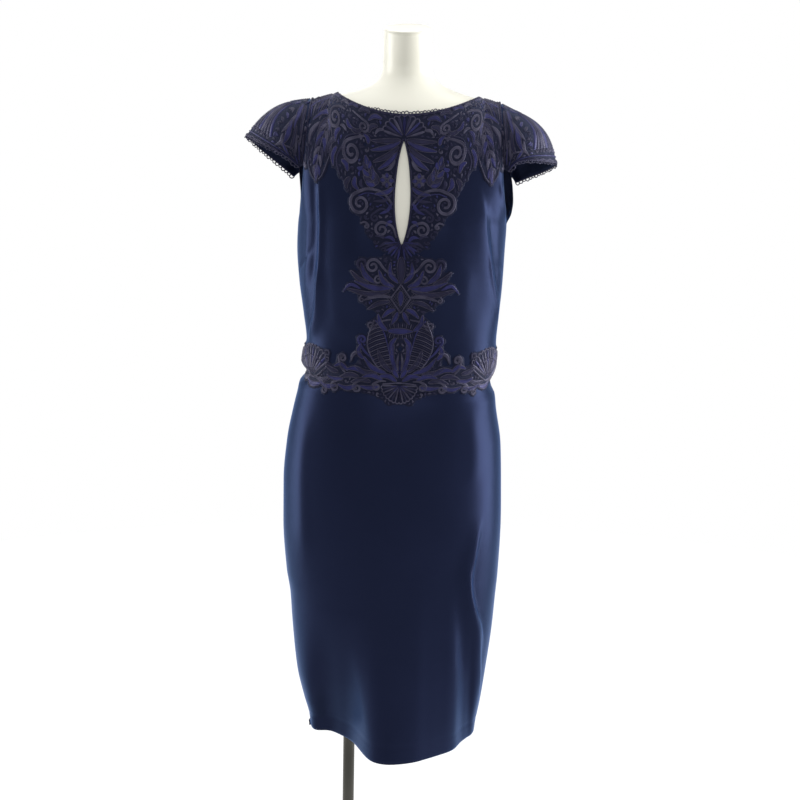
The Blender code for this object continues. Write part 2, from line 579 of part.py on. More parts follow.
def turned(name, x, y, profile, slot, sides=ROUND_SIDES):
    """A solid turned about a vertical line from a closed profile of (radius, z); radius 0 is a pole of it."""
    points, rings = [], []
    for radius, z in profile:
        if radius == 0:
            rings.append([len(points)] * sides)
            points.append((x, y, z))
        else:
            rings.append(list(range(len(points), len(points) + sides)))
            for k in range(sides):
                turn = 2 * math.pi * k / sides
                points.append((x + radius * math.cos(turn), y + radius * math.sin(turn), z))
    faces = []
    for first, second in zip(rings, rings[1:] + (rings[:1] if profile[0][0] else [])):
        for k in range(sides):
            n = (k + 1) % sides
            face = [first[k], first[n], second[n], second[k]]
            face = [c for i, c in enumerate(face) if c != face[i - 1]]
            if len(set(face)) > 2:
                faces.append(face)
    return solid(name, points, faces, slot)


def build_stand():
    x, y, r = POLE["x"], POLE["y"], POLE["radius"]
    thick, edge, big = BASE["thick"], BASE["edge"], BASE["radius"]
    turned("base_plate", BASE["x"], 0, [
        (0, 0), (big - edge, 0), (big, edge * 0.6), (big, thick - edge),
        (big - edge * 0.3, thick - edge * 0.3), (big - edge, thick), (0, thick)], "base_paint", BASE_SIDES)
    floor, ceiling, inner = thick + FIT, form_bottom() - FIT, r + FIT
    turned("pole", x, y, [(0, floor), (r, floor), (r, ceiling), (0, ceiling)], "brushed_steel")
    hub, top = HUB["radius"], floor + HUB["height"]
    turned("base_hub", x, y, [
        (inner, floor), (hub, floor), (hub, top - HUB["shoulder"]), (hub - HUB["slope"], top), (inner, top)],
        "brushed_steel")
    collar, low, round_off = COLLAR["radius"], ceiling - COLLAR["height"], COLLAR["edge"]
    turned("pole_collar", x, y, [
        (inner, low), (collar - round_off, low), (collar, low + round_off), (collar, ceiling),
        (inner, ceiling)], "brushed_steel")


for old in list(bpy.data.objects):
    bpy.data.objects.remove(old, do_unlink=True)
materials = {name: material(name, *values) for name, values in MATERIALS.items()}
build_panels()
build_sleeves()
build_lace()
build_form()
build_stand()
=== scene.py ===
import math

import bmesh
import bpy
import numpy as np
from mathutils import Matrix


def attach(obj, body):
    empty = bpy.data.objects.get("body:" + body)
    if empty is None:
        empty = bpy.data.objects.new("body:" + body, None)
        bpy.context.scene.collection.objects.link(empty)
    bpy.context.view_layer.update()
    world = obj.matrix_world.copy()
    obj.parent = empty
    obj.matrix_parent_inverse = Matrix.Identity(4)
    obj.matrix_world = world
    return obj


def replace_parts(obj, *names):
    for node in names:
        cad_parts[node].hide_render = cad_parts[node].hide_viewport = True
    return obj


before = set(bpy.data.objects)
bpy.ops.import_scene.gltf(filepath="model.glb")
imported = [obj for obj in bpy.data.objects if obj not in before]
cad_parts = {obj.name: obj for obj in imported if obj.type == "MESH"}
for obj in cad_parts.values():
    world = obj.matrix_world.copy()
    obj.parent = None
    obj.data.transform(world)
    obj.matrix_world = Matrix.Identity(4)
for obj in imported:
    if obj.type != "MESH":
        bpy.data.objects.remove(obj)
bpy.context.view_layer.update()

# Tables are in millimetres, on the same surfaces as the CAD panels. A level is the height of a cross-section
# at the centre line. s runs from -1 to 1 across a side, and w is the distance along the cloth from its
# middle.
FRONT, BACK = -1, 1
MIDDLE_X = 3.0
SHIFT = np.array([5.8, 0.0, 0.0])
CLOTH, SEAM = 1.5, 0.02
WALL, HEM_EXTRA, HEM_TURNED = 1.0, 1.3, 30
NET, NET_LIFT, SLEEVE_NET_LIFT = 0.35, 0.15, 0.2
SIDES = (("left", -1), ("right", 1))
WAIST, UNDERARM, NOTCH, TOP, HEM = 950.0, 1203.0, 1268.0, 1368.5, 360.0
NECK_S, FLAT_EDGE, ARM_ROUND = 0.52, 8, 2.2
FRONT_HALF_WIDTH = 160.0


def table(names, rows):
    return {name: np.array(column, float) for name, column in zip(names.split(), zip(*rows))}


# Sections up to the underarm: half widths to the left and right of x = 0, how far the sides rise, then depth
# and roundness in front and behind.
SECTIONS = [
    (355, 138, 132, 3, -141, 1.65, 97, 2.2), (385, 142, 136.5, 3, -138, 1.7, 98, 2.2),
    (420, 151, 142.5, 3, -134, 1.8, 100, 2.2), (470, 162, 149, 3, -129, 1.95, 103, 2.2),
    (550, 170, 158, 2, -123, 2.1, 109, 2.25), (600, 173.5, 161.5, 2, -121.5, 2.2, 113, 2.25),
    (640, 180, 164.5, 2, -121, 2.2, 117, 2.3), (720, 185.5, 167, 3, -120, 2.25, 124, 2.3),
    (785, 185.5, 165.5, 4, -118, 2.25, 126, 2.3), (850, 180, 162.5, 6, -114, 2.3, 120, 2.3),
    (905, 169, 153.5, 8, -109, 2.3, 106, 2.3), (925, 164, 151, 9, -106, 2.3, 99, 2.3),
    (940, 160.5, 144, 10, -103, 2.3, 92, 2.3), (950, 153.5, 142.5, 10, -101, 2.3, 88, 2.3),
    (962, 148, 147.5, 10, -103, 2.3, 87, 2.3), (974, 156.5, 150.5, 10, -103, 2.3, 86, 2.3),
    (990, 154.5, 151.5, 10, -102, 2.3, 85, 2.3), (1010, 150, 150.5, 9, -101, 2.3, 84, 2.3),
    (1050, 154.5, 153.3, 8, -104, 2.3, 87, 2.3), (1110, 162, 157.5, 3, -109, 2.3, 94, 2.3),
    (1165, 165.5, 159.5, 0, -111, 2.3, 100, 2.3), (1203, 164, 161, 0, -112, 2.3, 103, 2.3)]
# Above it the sides part: edge is how far each one's edge lies from the middle plane.
ABOVE_UNDERARM = {
    FRONT: [(1216, 159, 159, -30, 6, -112, 2.3, 0.8), (1232, 155, 156, -49, 14, -111, 2.3, 0.62),
            (1250, 152.5, 153.5, -58, 20, -109.5, 2.3, 0.52), (1268, 151, 152, -60, 22, -107.5, 2.3, 0.5)],
    BACK: [(1216, 166.5, 169, 28, 2, 104, 2.3, 0.8), (1232, 167.5, 172, 50, 5, 105, 2.3, 0.62),
           (1250, 170, 171, 63, 6, 105.5, 2.3, 0.52), (1268, 172, 168.5, 67, 6, 105, 2.3, 0.5)],
}
PANEL_ROWS = {}
for side, first in ((FRONT, 4), (BACK, 6)):
    low = [(*row[:3], 0, row[3], *row[first:first + 2], 1) for row in SECTIONS]
    PANEL_ROWS[side] = table("level left right edge rise depth round wrap", low + ABOVE_UNDERARM[side])
SHOULDER = {"neck_left": (-105.5, 10, 1399.5), "neck_right": (112.5, 10, 1396.5),
            "tip_left": (-143.5, 5, 1390), "tip_right": (143.5, 5, 1389)}
NECKLINE = {FRONT: (-90.0, 1368.5, 1.9), BACK: (74.0, 1386.0, 2.0)}
CHEST_LEAN, RIDGE_SHARE, FULLNESS = (0.47, 0.88), 0.5, 1.05
BUST = {"apart": 82, "level": 1160, "lift": 15, "wide": 42, "above": 62, "below": 52}
KEYHOLE = {"bottom": 1177, "top": 1329, "half": 12.0, "skew": 0.92, "round": 0.85}
SKIRT_FOLDS = [(-86, 600, 352, 42, 66), (118, 640, 380, 12, 15), (68, 700, 520, 20, 3)]
SLEEVES = {
    -1: table("along x y z", [
        (0, -158, -56, 1288), (0.12, -175, -61, 1302), (0.25, -199, -52, 1314), (0.38, -224, -33, 1324),
        (0.5, -246.5, -2, 1332), (0.62, -240, 28, 1321), (0.75, -219, 52, 1301), (0.88, -198, 66, 1283),
        (1, -179, 62, 1268)]),
    1: table("along x y z", [
        (0, 159, -57, 1288), (0.12, 173, -62, 1302), (0.25, 192, -55, 1305), (0.38, 214, -37, 1303),
        (0.5, 234.5, -2, 1299), (0.62, 225, 28, 1289), (0.75, 204, 52, 1279), (0.88, 187, 66, 1271),
        (1, 174.5, 62, 1266)]),
}
SLEEVE_GAP, CROWN_POWER = 0.75, 1.1
SLEEVE_CROWN = {-1: (16, 1.0), 1: (20.5, 1.2)}
SLEEVE_LEVELS = np.array([NOTCH, 1288, 1308, KEYHOLE["top"], 1350, TOP])
YOKE_EDGE = table("out level", [
    (0, 1165.4), (30, 1166), (44, 1186), (60, 1214), (76, 1242), (90, 1266), (104, 1284), (116, 1284),
    (128, 1270), (140, 1268), (170, 1268)])
COLUMN_REACH = table("level out", [
    (980, 70), (1000, 62), (1030, 54), (1052, 34), (1070, 22), (1090, 60), (1120, 70), (1145, 52),
    (1163, 26)])
WAIST_TOP = table("out level", [
    (0, 978.7), (84, 978.7), (100, 978), (112, 980), (126, 990), (138, 1003), (170, 1006)])
WAIST_BOTTOM = table("out level", [
    (0, 920), (14, 922), (26, 933), (40, 936), (70, 938), (110, 943), (135, 946), (170, 948)])
FORM_GAP = table("level gap", [
    (625, 12), (720, 6), (785, 4), (905, 6), (1000, 6), (1110, 4), (1165, 1.2), (1203, 1.5), (1268, 1.0),
    (1330, 0.9), (1368.5, 0.85)])
FORM_BOTTOM, SIDE_INSET = 640, 9
BOTTOM_TURN = [(0.995, 1), (0.985, 3), (0.96, 6), (0.93, 9), (0.9, 11.5), (0.86, 13)]
ARM_PLATE = {"columns": 17, "swell": 0.08, "most": 7, "settle": 0.21}
NECK_BASE = {"x": 1.2, "y": 13, "z": 1443, "wide": 37.8, "deep": 46}
NECK_TOP = {"x": 0.8, "y": 8, "z": 1499.5, "wide": 36.8, "deep": 45, "tilt": 9}
NECK_REACH = 1.15
NECK_RIM = [(0, 1.5), (0.004, 0.6), (0.012, 0.15), (0.03, 0), (0.06, 0.05), (0.12, 0.4), (0.3, 0.9),
            (0.6, 1.2), (0.9, 1.3)]
POLE = {"x": -75, "y": 5, "radius": 9.5}
COLLAR = {"radius": 17, "height": 24, "edge": 2}
HUB = {"radius": 21, "height": 34, "shoulder": 8, "slope": 6}
BASE = {"x": -5.8, "radius": 172, "thick": 12}
FIT, CORNER = 0.3, 0.7

# Soft ridges (+) and troughs (-) on each side: path of (w, level), width on each side, height.
CREASES = {
    FRONT: [
        ([(-133, 1276), (-132, 1232), (-133, 1166), (-138, 1105), (-146, 1054)], 2.6, 8, 3.2),
        ([(-132, 1150), (-136, 1095), (-147, 1049), (-174, 1002)], 4, 14, 4.2),
        ([(-142, 1272), (-142, 1200), (-145, 1150), (-155, 1095)], 6, 4, -2.6),
        ([(-160, 1240), (-164, 1150), (-172, 1080)], 10, 8, 1.6),
        ([(112, 1262), (128, 1222), (138, 1180), (150, 1128), (166, 1080), (190, 1016)], 24, 5, 3.6),
        ([(142, 1196), (150, 1134), (166, 1084), (184, 1036)], 3.2, 2.6, 2.2),
        ([(138, 1240), (152, 1190), (164, 1140), (180, 1086)], 4, 9, -2.6),
        ([(154, 1262), (164, 1238), (196, 1208)], 4, 3, 1.8),
        ([(-196, 1130), (-168, 1150), (-141, 1174)], 5, 5, -0.9),
        ([(204, 1130), (178, 1144), (151, 1158)], 5, 5, -0.9),
        ([(-108, 1150), (-100, 1080), (-92, 1020)], 14, 14, 1.2),
        ([(104, 1150), (96, 1080), (100, 1020)], 14, 14, 1.2),
        ([(144, 760), (128, 690), (121, 640), (129, 606), (150, 562), (168, 506)], 18, 5, 5.0),
        ([(110, 700), (124, 620), (146, 545), (166, 470), (188, 392)], 18, 6, 3.8),
        ([(104, 660), (112, 560), (128, 470)], 12, 12, -2.6),
        ([(-63, 580), (-57, 470), (-36, 380)], 15, 12, 0.8),
        ([(-150, 925), (-160, 840), (-158, 740), (-150, 640)], 18, 16, 1.8),
        ([(118, 930), (124, 850), (120, 790)], 14, 16, 1.3),
        ([(-40, 925), (-46, 850), (-40, 790)], 16, 16, 0.8),
    ],
    BACK: [
        ([(-128, 1240), (-132, 1160), (-140, 1080), (-160, 1010)], 10, 14, 2.6),
        ([(128, 1240), (134, 1160), (142, 1080), (164, 1010)], 14, 10, 2.6),
        ([(-112, 1030), (-60, 1012), (-12, 1006)], 9, 8, 2.2),
        ([(12, 1004), (62, 1014), (116, 1034)], 8, 9, 2.0),
        ([(-96, 992), (-50, 984), (-12, 984)], 7, 7, -1.8),
        ([(12, 982), (54, 986), (98, 996)], 7, 7, -1.6),
        ([(-84, 720), (-78, 600), (-72, 480), (-66, 372)], 16, 18, 3.2),
        ([(92, 700), (84, 580), (76, 460), (72, 372)], 18, 16, 3.0),
        ([(-140, 640), (-132, 520), (-128, 400)], 14, 16, 2.2),
        ([(138, 660), (130, 530), (126, 400)], 16, 14, 2.4),
        ([(30, 640), (34, 500), (30, 380)], 14, 14, 1.8),
    ],
}
# Depth (the roll's is a height) and half width of the grooves along seams, darts and hem.
GROOVES = {"armhole": (0.2, 1.8), "side_seam": (0.9, 1.8), "waist_seam": (0.7, 2.0), "back_seam": (0.8, 1.6),
           "hem_roll": (0.5, 7.0), "hem_stitch": (0.5, 2.5), "hem_edge": (0.6, 1.6), "dart": (1.0, 2.2)}
HEM_ROLL_UP, HEM_STITCH_UP = 5, 26
DARTS = {FRONT: [[(-203, 1124), (-172, 1147), (-141, 1174)], [(212, 1127), (182, 1142), (151, 1157)]],
         BACK: [[(-74, 956), (-78, 1030), (-80, 1090)], [(74, 956), (78, 1030), (80, 1090)],
                [(-76, 944), (-80, 880), (-82, 820)], [(76, 944), (80, 880), (82, 820)]]}


# ---- the surfaces of the cloth ----

def hermite(start, leave, end, arrive, t):
    return (start * (1 + 2 * t) * (1 - t) ** 2 + leave * t * (1 - t) ** 2
            + end * t * t * (3 - 2 * t) + arrive * t * t * (t - 1))


def slopes(x, y):
    step = np.diff(y) / np.diff(x)
    both = np.where(step[:-1] + step[1:] == 0, 1, step[:-1] + step[1:])
    inner = np.where(step[:-1] * step[1:] > 0, 2 * step[:-1] * step[1:] / both, 0)
    return np.concatenate([step[:1], inner, step[-1:]])


def read(rows, column, at):
    keys, values = rows[next(iter(rows))], rows[column]
    slope = slopes(keys, values)
    at = np.clip(np.asarray(at, float), keys[0], keys[-1])
    i = np.clip(np.searchsorted(keys, at, side="right") - 1, 0, len(keys) - 2)
    wide = keys[i + 1] - keys[i]
    return hermite(values[i], slope[i] * wide, values[i + 1], slope[i + 1] * wide, (at - keys[i]) / wide)


def ease(t):
    t = np.clip(t, 0, 1)
    return t * t * (3 - 2 * t)


def unit(v):
    return v / np.maximum(np.linalg.norm(v, axis=-1, keepdims=True), 1e-12)


def section(side, s, level):
    rows = PANEL_ROWS[side]
    value = {name: read(rows, name, level) for name in list(rows)[1:]}
    middle, half = (value["right"] - value["left"]) / 2, (value["right"] + value["left"]) / 2
    u = np.sin(s * math.pi / 2)
    u = u + (MIDDLE_X - middle) / half * (1 - u * u)
    full = np.maximum(1 - np.abs(u) ** value["round"], 0) ** (1 / value["round"])
    part = 1 - np.abs(u) ** ARM_ROUND
    y = value["edge"] + side * SEAM + (value["depth"] - value["edge"]) * (
        value["wrap"] * full + (1 - value["wrap"]) * part)
    x = middle + half * u
    z = level + value["rise"] * np.abs(s) ** 1.5
    if side == FRONT:
        spread = np.where(level > BUST["level"], BUST["above"], BUST["below"])
        height = np.exp(-((level - BUST["level"]) / spread) ** 2 / 2)
        inner = 1 - s ** FLAT_EDGE
        for centre in (MIDDLE_X - BUST["apart"], MIDDLE_X + BUST["apart"]):
            y = y - BUST["lift"] * height * np.exp(-((x - centre) / BUST["wide"]) ** 2 / 2) * inner
        for x0, top, bottom, wide, depth in SKIRT_FOLDS:
            fade = ease((top - level) / (top - bottom))
            y = y + depth * fade * np.exp(-np.abs((x - x0) / wide) ** 3) * inner
    return np.stack(np.broadcast_arrays(x, y, z), -1)


def edge_of_top(side, s):
    y0, z0, power = NECKLINE[side]
    right = (np.asarray(s) >= 0)[..., None]
    neck = np.where(right, SHOULDER["neck_right"], SHOULDER["neck_left"])
    tip = np.where(right, SHOULDER["tip_right"], SHOULDER["tip_left"])
    turn = np.clip(np.abs(s) / NECK_S, 0, 1) * math.pi / 2
    swing = np.sin(turn)
    line = np.stack([MIDDLE_X + (neck[..., 0] - MIDDLE_X) * swing,
                     neck[..., 1] + (y0 - neck[..., 1]) * np.cos(turn) ** 0.9,
                     z0 + (neck[..., 2] - z0) * swing ** power], -1)
    out = np.clip((np.abs(s) - NECK_S) / (1 - NECK_S), 0, 1)[..., None]
    point = np.where(out > 0, neck + (tip - neck) * out, line)
    point[..., 1] += side * SEAM
    return point


def surface(side, s, level):
    s, level = np.broadcast_arrays(np.asarray(s, float), np.asarray(level, float))
    low = section(side, s, np.minimum(level, NOTCH))
    start = section(side, s, np.full(s.shape, NOTCH))
    climb = unit(start - section(side, s, np.full(s.shape, NOTCH - 3)))
    end = edge_of_top(side, s)
    reach = np.linalg.norm(end - start, axis=-1, keepdims=True)
    near = (np.clip(np.abs(s) / NECK_S, 0, 1) ** 1.5)[..., None]
    out = np.clip((np.abs(s) - NECK_S) / (1 - NECK_S), 0, 1)[..., None]
    ridge = np.where((s >= 0)[..., None], np.subtract(SHOULDER["neck_right"], SHOULDER["tip_right"]),
                     np.subtract(SHOULDER["neck_left"], SHOULDER["tip_left"]))
    over = unit(unit(ridge * (1, 0, 1)) * RIDGE_SHARE * (1 - out) + np.array([0, -side, 0]))
    arrive = unit(np.array([0, -side * CHEST_LEAN[0], CHEST_LEAN[1]]) * (1 - near) + over * near)
    t = np.clip((level - NOTCH) / (TOP - NOTCH), 0, 1)[..., None]
    bow = hermite(start, climb * reach * FULLNESS, end, arrive * reach * FULLNESS, t)
    return np.where(level[..., None] > NOTCH, bow, low)


def normal(side, s, level):
    s, level = np.broadcast_arrays(np.asarray(s, float), np.asarray(level, float))
    across = surface(side, np.minimum(s + 1e-3, 1), level) - surface(side, np.maximum(s - 1e-3, -1), level)
    up = surface(side, s, np.minimum(level + 0.5, TOP)) - surface(side, s, level - 0.5)
    return unit(np.cross(across, up)) * -side


def keyhole_half(level):
    t = np.clip((level - KEYHOLE["bottom"]) / (KEYHOLE["top"] - KEYHOLE["bottom"]), 0, 1)
    lens = np.maximum(np.sin(math.pi * t ** KEYHOLE["skew"]), 0) ** KEYHOLE["round"]
    return KEYHOLE["half"] * lens * ((t > 0) & (t < 1))


def opened(sigma, level):
    part = keyhole_half(level) / (FRONT_HALF_WIDTH * math.pi / 2)
    return np.sign(sigma) * (part + (1 - part) * np.abs(sigma))


def groove(name, distance):
    depth, wide = GROOVES[name]
    return depth * np.exp(-(distance / wide) ** 2)


def arc_table(side):
    """w for each (level, s) of a fine grid, and the grid itself."""
    s = np.linspace(-1, 1, 301)
    level = np.concatenate([np.arange(HEM - 2, NOTCH, 4.0), np.linspace(NOTCH, TOP, 41)])
    points = surface(side, *np.meshgrid(s, level))
    steps = np.linalg.norm(np.diff(points, axis=1), axis=-1)
    w = np.concatenate([np.zeros((len(level), 1)), np.cumsum(steps, axis=1)], axis=1)
    at = [np.interp(MIDDLE_X, points[i, :, 0], w[i]) for i in range(len(level))]
    return s, level, w - np.array(at)[:, None]


ARCS = {side: arc_table(side) for side in (FRONT, BACK)}


def bilinear(grid, i, j):
    """Values of grid at fractional rows i and columns j."""
    i = np.clip(i, 0, grid.shape[0] - 1.000001)
    j = np.clip(j, 0, grid.shape[1] - 1.000001)
    a, b = i.astype(int), j.astype(int)
    u, v = i - a, j - b
    if grid.ndim == 3:
        u, v = u[..., None], v[..., None]
    return ((grid[a, b] * (1 - u) + grid[a + 1, b] * u) * (1 - v)
            + (grid[a, b + 1] * (1 - u) + grid[a + 1, b + 1] * u) * v)


def w_of(side, s, level):
    columns, levels, w = ARCS[side]
    return bilinear(w, np.interp(level, levels, np.arange(len(levels))), (s + 1) / 2 * (len(columns) - 1))


def from_line(w, level, path):
    """Signed distance from a path of (w, level), with its sign by the side, and the share of its length."""
    best = np.full(np.shape(w), 1e9)
    signed, share = np.zeros(np.shape(w)), np.zeros(np.shape(w))
    path = np.array(path, float)
    lengths = np.linalg.norm(np.diff(path, axis=0), axis=1)
    done = 0.0
    for (a, b), length in zip(zip(path, path[1:]), lengths):
        d = (b - a) / length
        t = (w - a[0]) * d[0] + (level - a[1]) * d[1]
        near = np.clip(t, 0, length)
        x, y = w - a[0] - near * d[0], level - a[1] - near * d[1]
        far = np.hypot(x, y)
        closer = far < best
        best = np.where(closer, far, best)
        signed = np.where(closer, np.sign(d[0] * y - d[1] * x) * -far, signed)
        share = np.where(closer, (done + t) / lengths.sum(), share)
        done += length
    return signed, share


def relief(side, s, level):
    """How far the worn cloth stands off its plain surface: creases, turned edges and the hem."""
    w = w_of(side, s, level)
    total = np.zeros(np.shape(w))
    for path, left, right, height in CREASES[side]:
        smooth = smooth_path(np.array(path, float), 14)
        down = smooth[0, 1] > smooth[-1, 1]
        signed, share = from_line(w, level, smooth)
        wide = np.where((signed > 0) == down, left, right)
        fade = ease(share / 0.3) * ease((1 - share) / 0.3)
        total += height * np.exp(-(signed / wide) ** 2) * fade
    total *= 1 - np.abs(s) ** 24
    # The last millimetres of each panel turn in to its seam.
    edge = np.minimum(w_of(side, np.ones_like(s), level) - w, w - w_of(side, -np.ones_like(s), level))
    total -= np.where(level > UNDERARM, groove("armhole", edge), groove("side_seam", edge))
    total -= groove("waist_seam", level - WAIST)
    if side == BACK:
        total -= groove("back_seam", w)
    total += groove("hem_roll", level - HEM - HEM_ROLL_UP) - groove("hem_stitch", level - HEM - HEM_STITCH_UP)
    total -= groove("hem_edge", level - HEM)
    for path in DARTS[side]:
        signed, share = from_line(w, level, path)
        total -= groove("dart", signed) * ease((1.1 - share) / 0.5) * (share > -0.1)
    most = read(FORM_GAP, "gap", level) + 0.25
    return np.where(total < 0, -most * np.tanh(-total / most), total)


def worn(side, s, level):
    """A point of the worn cloth's outside, and its outward direction there."""
    out = normal(side, s, level)
    return surface(side, s, level) + out * relief(side, s, level)[..., None], out


def smooth_path(points, count):
    """Points closely spaced along a smooth curve through the given ones."""
    points = np.asarray(points, float)
    if len(points) < 3:
        return points[0] + (points[-1] - points[0]) * np.linspace(0, 1, count)[:, None]
    key = np.concatenate([[0], np.cumsum(np.sqrt(np.linalg.norm(np.diff(points, axis=0), axis=1)))])
    padded = np.concatenate([[2 * points[0] - points[1]], points, [2 * points[-1] - points[-2]]])
    keys = np.concatenate([[-key[1]], key, [2 * key[-1] - key[-2]]])
    at = np.linspace(0, key[-1], count)
    i = np.clip(np.searchsorted(key, at, side="right") - 1, 0, len(points) - 2)
    slope = (padded[2:] - padded[:-2]) / (keys[2:] - keys[:-2])[:, None]
    wide = (key[i + 1] - key[i])[:, None]
    t = (at - key[i])[:, None] / wide
    return hermite(points[i], slope[i] * wide, points[i + 1], slope[i + 1] * wide, t)


# ---- materials ----

class Nodes:
    """A small helper for building one node material."""

    def __init__(self, name, **sockets):
        self.material = bpy.data.materials.new(name)
        self.material.use_nodes = True
        self.tree = self.material.node_tree
        self.shader = self.tree.nodes["Principled BSDF"]
        for key, value in sockets.items():
            self.shader.inputs[key.replace("_", " ")].default_value = value
        self.place = self.node("ShaderNodeTexCoord").outputs["Object"]

    def node(self, kind, values=(), links=(), **settings):
        made = self.tree.nodes.new(kind)
        for key, value in settings.items():
            setattr(made, key, value)
        for key, value in values:
            made.inputs[key].default_value = value
        for key, source in links:
            self.tree.links.new(source, made.inputs[key])
        return made

    def noise(self, scale, detail=3.0, rough=0.5, stretch=(1, 1, 1)):
        place = self.place
        if stretch != (1, 1, 1):
            mapping = self.node("ShaderNodeMapping", [("Scale", stretch)], [("Vector", place)])
            place = mapping.outputs["Vector"]
        values = [("Scale", scale), ("Detail", detail), ("Roughness", rough)]
        return self.node("ShaderNodeTexNoise", values, [("Vector", place)]).outputs["Fac"]

    def ramp(self, factor, stops):
        made = self.node("ShaderNodeValToRGB", links=[("Fac", factor)])
        ramp = made.color_ramp
        while len(ramp.elements) < len(stops):
            ramp.elements.new(0.5)
        for element, (place, value) in zip(ramp.elements, stops):
            element.position = place
            element.color = (*value, 1) if hasattr(value, "__len__") else (value, value, value, 1)
        return made.outputs["Color"]

    def link(self, source, name):
        self.tree.links.new(source, self.shader.inputs[name])

    def bump(self, heights):
        """Bump from several (height, strength, distance)."""
        last = None
        for height, strength, distance in heights:
            links = [("Height", height)] + ([("Normal", last)] if last else [])
            values = [("Strength", strength), ("Distance", distance)]
            last = self.node("ShaderNodeBump", values, links).outputs[0]
        self.link(last, "Normal")

    def vary(self, name, factor, low, high, from_to=(0.3, 0.7)):
        """A colour or value that runs from low to high with a noise."""
        self.link(self.ramp(factor, list(zip(from_to, (low, high)))), name)


def crepe():
    # The metallic share only gives the cloth's soft reflections its own blue.
    m = Nodes("navy_crepe_cloth", Metallic=0.55, Roughness=0.33, Sheen_Weight=0.40, Sheen_Roughness=0.30,
              Sheen_Tint=(0.12, 0.34, 1.0, 1), Specular_IOR_Level=0.06, Specular_Tint=(0.55, 0.70, 1.0, 1))
    m.vary("Base Color", m.noise(7, 3), (0.0094, 0.0126, 0.0325), (0.0108, 0.0142, 0.0370))
    fine = m.noise(1500, 2)
    twill = m.node("ShaderNodeTexWave", [("Scale", 420.0), ("Distortion", 2.5), ("Detail", 2.0)],
                   [("Vector", m.place)], bands_direction="DIAGONAL").outputs["Fac"]
    m.vary("Roughness", fine, 0.29, 0.39)
    m.bump([(fine, 0.14, 0.0004), (twill, 0.10, 0.0003), (m.noise(90, 2), 0.05, 0.001)])
    return m.material


def net():
    m = Nodes("navy_lace_net", Roughness=0.6, Sheen_Weight=0.12, Sheen_Roughness=0.5,
              Sheen_Tint=(0.42, 0.55, 1.0, 1), Specular_IOR_Level=0.08)
    holes = m.node("ShaderNodeTexVoronoi", [("Scale", 620.0)], [("Vector", m.place)],
                   feature="DISTANCE_TO_EDGE")
    mesh = m.ramp(holes.outputs["Distance"], [(0.05, 1.0), (0.22, 0.0)])
    m.vary("Base Color", m.noise(40, 3), (0.0052, 0.0062, 0.0185), (0.0072, 0.0084, 0.0250))
    m.bump([(mesh, 0.5, 0.0003), (m.noise(160, 2), 0.3, 0.0005)])
    return m.material


def thread(name, dark, light, rough):
    m = Nodes(name, Sheen_Weight=0.12, Sheen_Roughness=0.35, Sheen_Tint=(0.70, 0.70, 1.0, 1),
              Specular_IOR_Level=0.35, Specular_Tint=(0.62, 0.60, 1.0, 1))
    m.vary("Base Color", m.noise(70, 4), dark, light, (0.32, 0.68))
    strands = m.noise(1900, 2, 0.6)
    m.vary("Roughness", strands, rough - 0.08, rough + 0.1)
    m.bump([(strands, 0.45, 0.0004)])
    return m.material


def shell_plastic():
    m = Nodes("cream_form_plastic", Roughness=0.34, Specular_IOR_Level=0.4, Coat_Weight=0.12,
              Coat_Roughness=0.2)
    m.vary("Base Color", m.noise(5, 4), (0.670, 0.658, 0.568), (0.700, 0.688, 0.607))
    m.vary("Roughness", m.noise(30, 4, 0.6), 0.30, 0.40)
    m.bump([(m.noise(420, 3), 0.05, 0.0005), (m.noise(12, 2), 0.04, 0.004)])
    return m.material


def steel():
    m = Nodes("pole_steel", Metallic=0.85, Roughness=0.36)
    lines = m.noise(60, 4, 0.6, (14, 14, 0.35))
    m.vary("Base Color", m.noise(9, 3), (0.045, 0.044, 0.038), (0.070, 0.068, 0.060))
    m.vary("Roughness", lines, 0.28, 0.46)
    m.bump([(lines, 0.12, 0.0004)])
    return m.material


def paint():
    m = Nodes("base_pale_paint", Specular_IOR_Level=0.45, Coat_Weight=0.2, Coat_Roughness=0.25)
    m.vary("Base Color", m.noise(14, 4), (0.40, 0.40, 0.385), (0.45, 0.45, 0.435))
    m.vary("Roughness", m.noise(120, 3), 0.36, 0.5)
    m.bump([(m.noise(520, 3), 0.16, 0.0006)])
    return m.material


MATERIALS = {
    "crepe": crepe(), "net": net(),
    "black": thread("thread_black_violet", (0.0052, 0.0054, 0.0165), (0.0102, 0.0104, 0.0300), 0.42),
    "violet": thread("thread_violet", (0.0075, 0.0085, 0.044), (0.0155, 0.0170, 0.090), 0.36),
    "grey": thread("thread_grey", (0.0190, 0.0185, 0.0330), (0.054, 0.052, 0.080), 0.36),
    "shell": shell_plastic(), "steel": steel(), "paint": paint(),
}
SLOTS = dict.fromkeys(("net", "black", "violet", "grey"), "embroidered_lace")
SLOTS |= {"crepe": "navy_crepe", "shell": "form_shell", "steel": "brushed_steel", "paint": "base_paint"}


def placed(name, data):
    """A new object in the scene."""
    made = bpy.data.objects.new(name, data)
    bpy.context.scene.collection.objects.link(made)
    return made


def piece(name, points, faces, kinds, which=None):
    """One mesh object from points in mm. kinds are material keys and which the key's index for each face."""
    mesh = bpy.data.meshes.new(name)
    metres = (np.asarray(points, float) + SHIFT) / 1000
    mesh.from_pydata(metres.tolist(), [], [tuple(map(int, f)) for f in faces])
    for kind in kinds:
        mesh.materials.append(MATERIALS[kind])
    if which is not None:
        mesh.polygons.foreach_set("material_index", np.asarray(which, np.int32))
    mesh.shade_smooth()
    mesh.update()
    made = placed(name, mesh)
    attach(made, "root")
    return made


# ---- cloth panels ----

def key_of(point):
    """A point rounded to a thousandth of a millimetre, so that shared points match."""
    return tuple(np.round(point, 3) + 0.0)


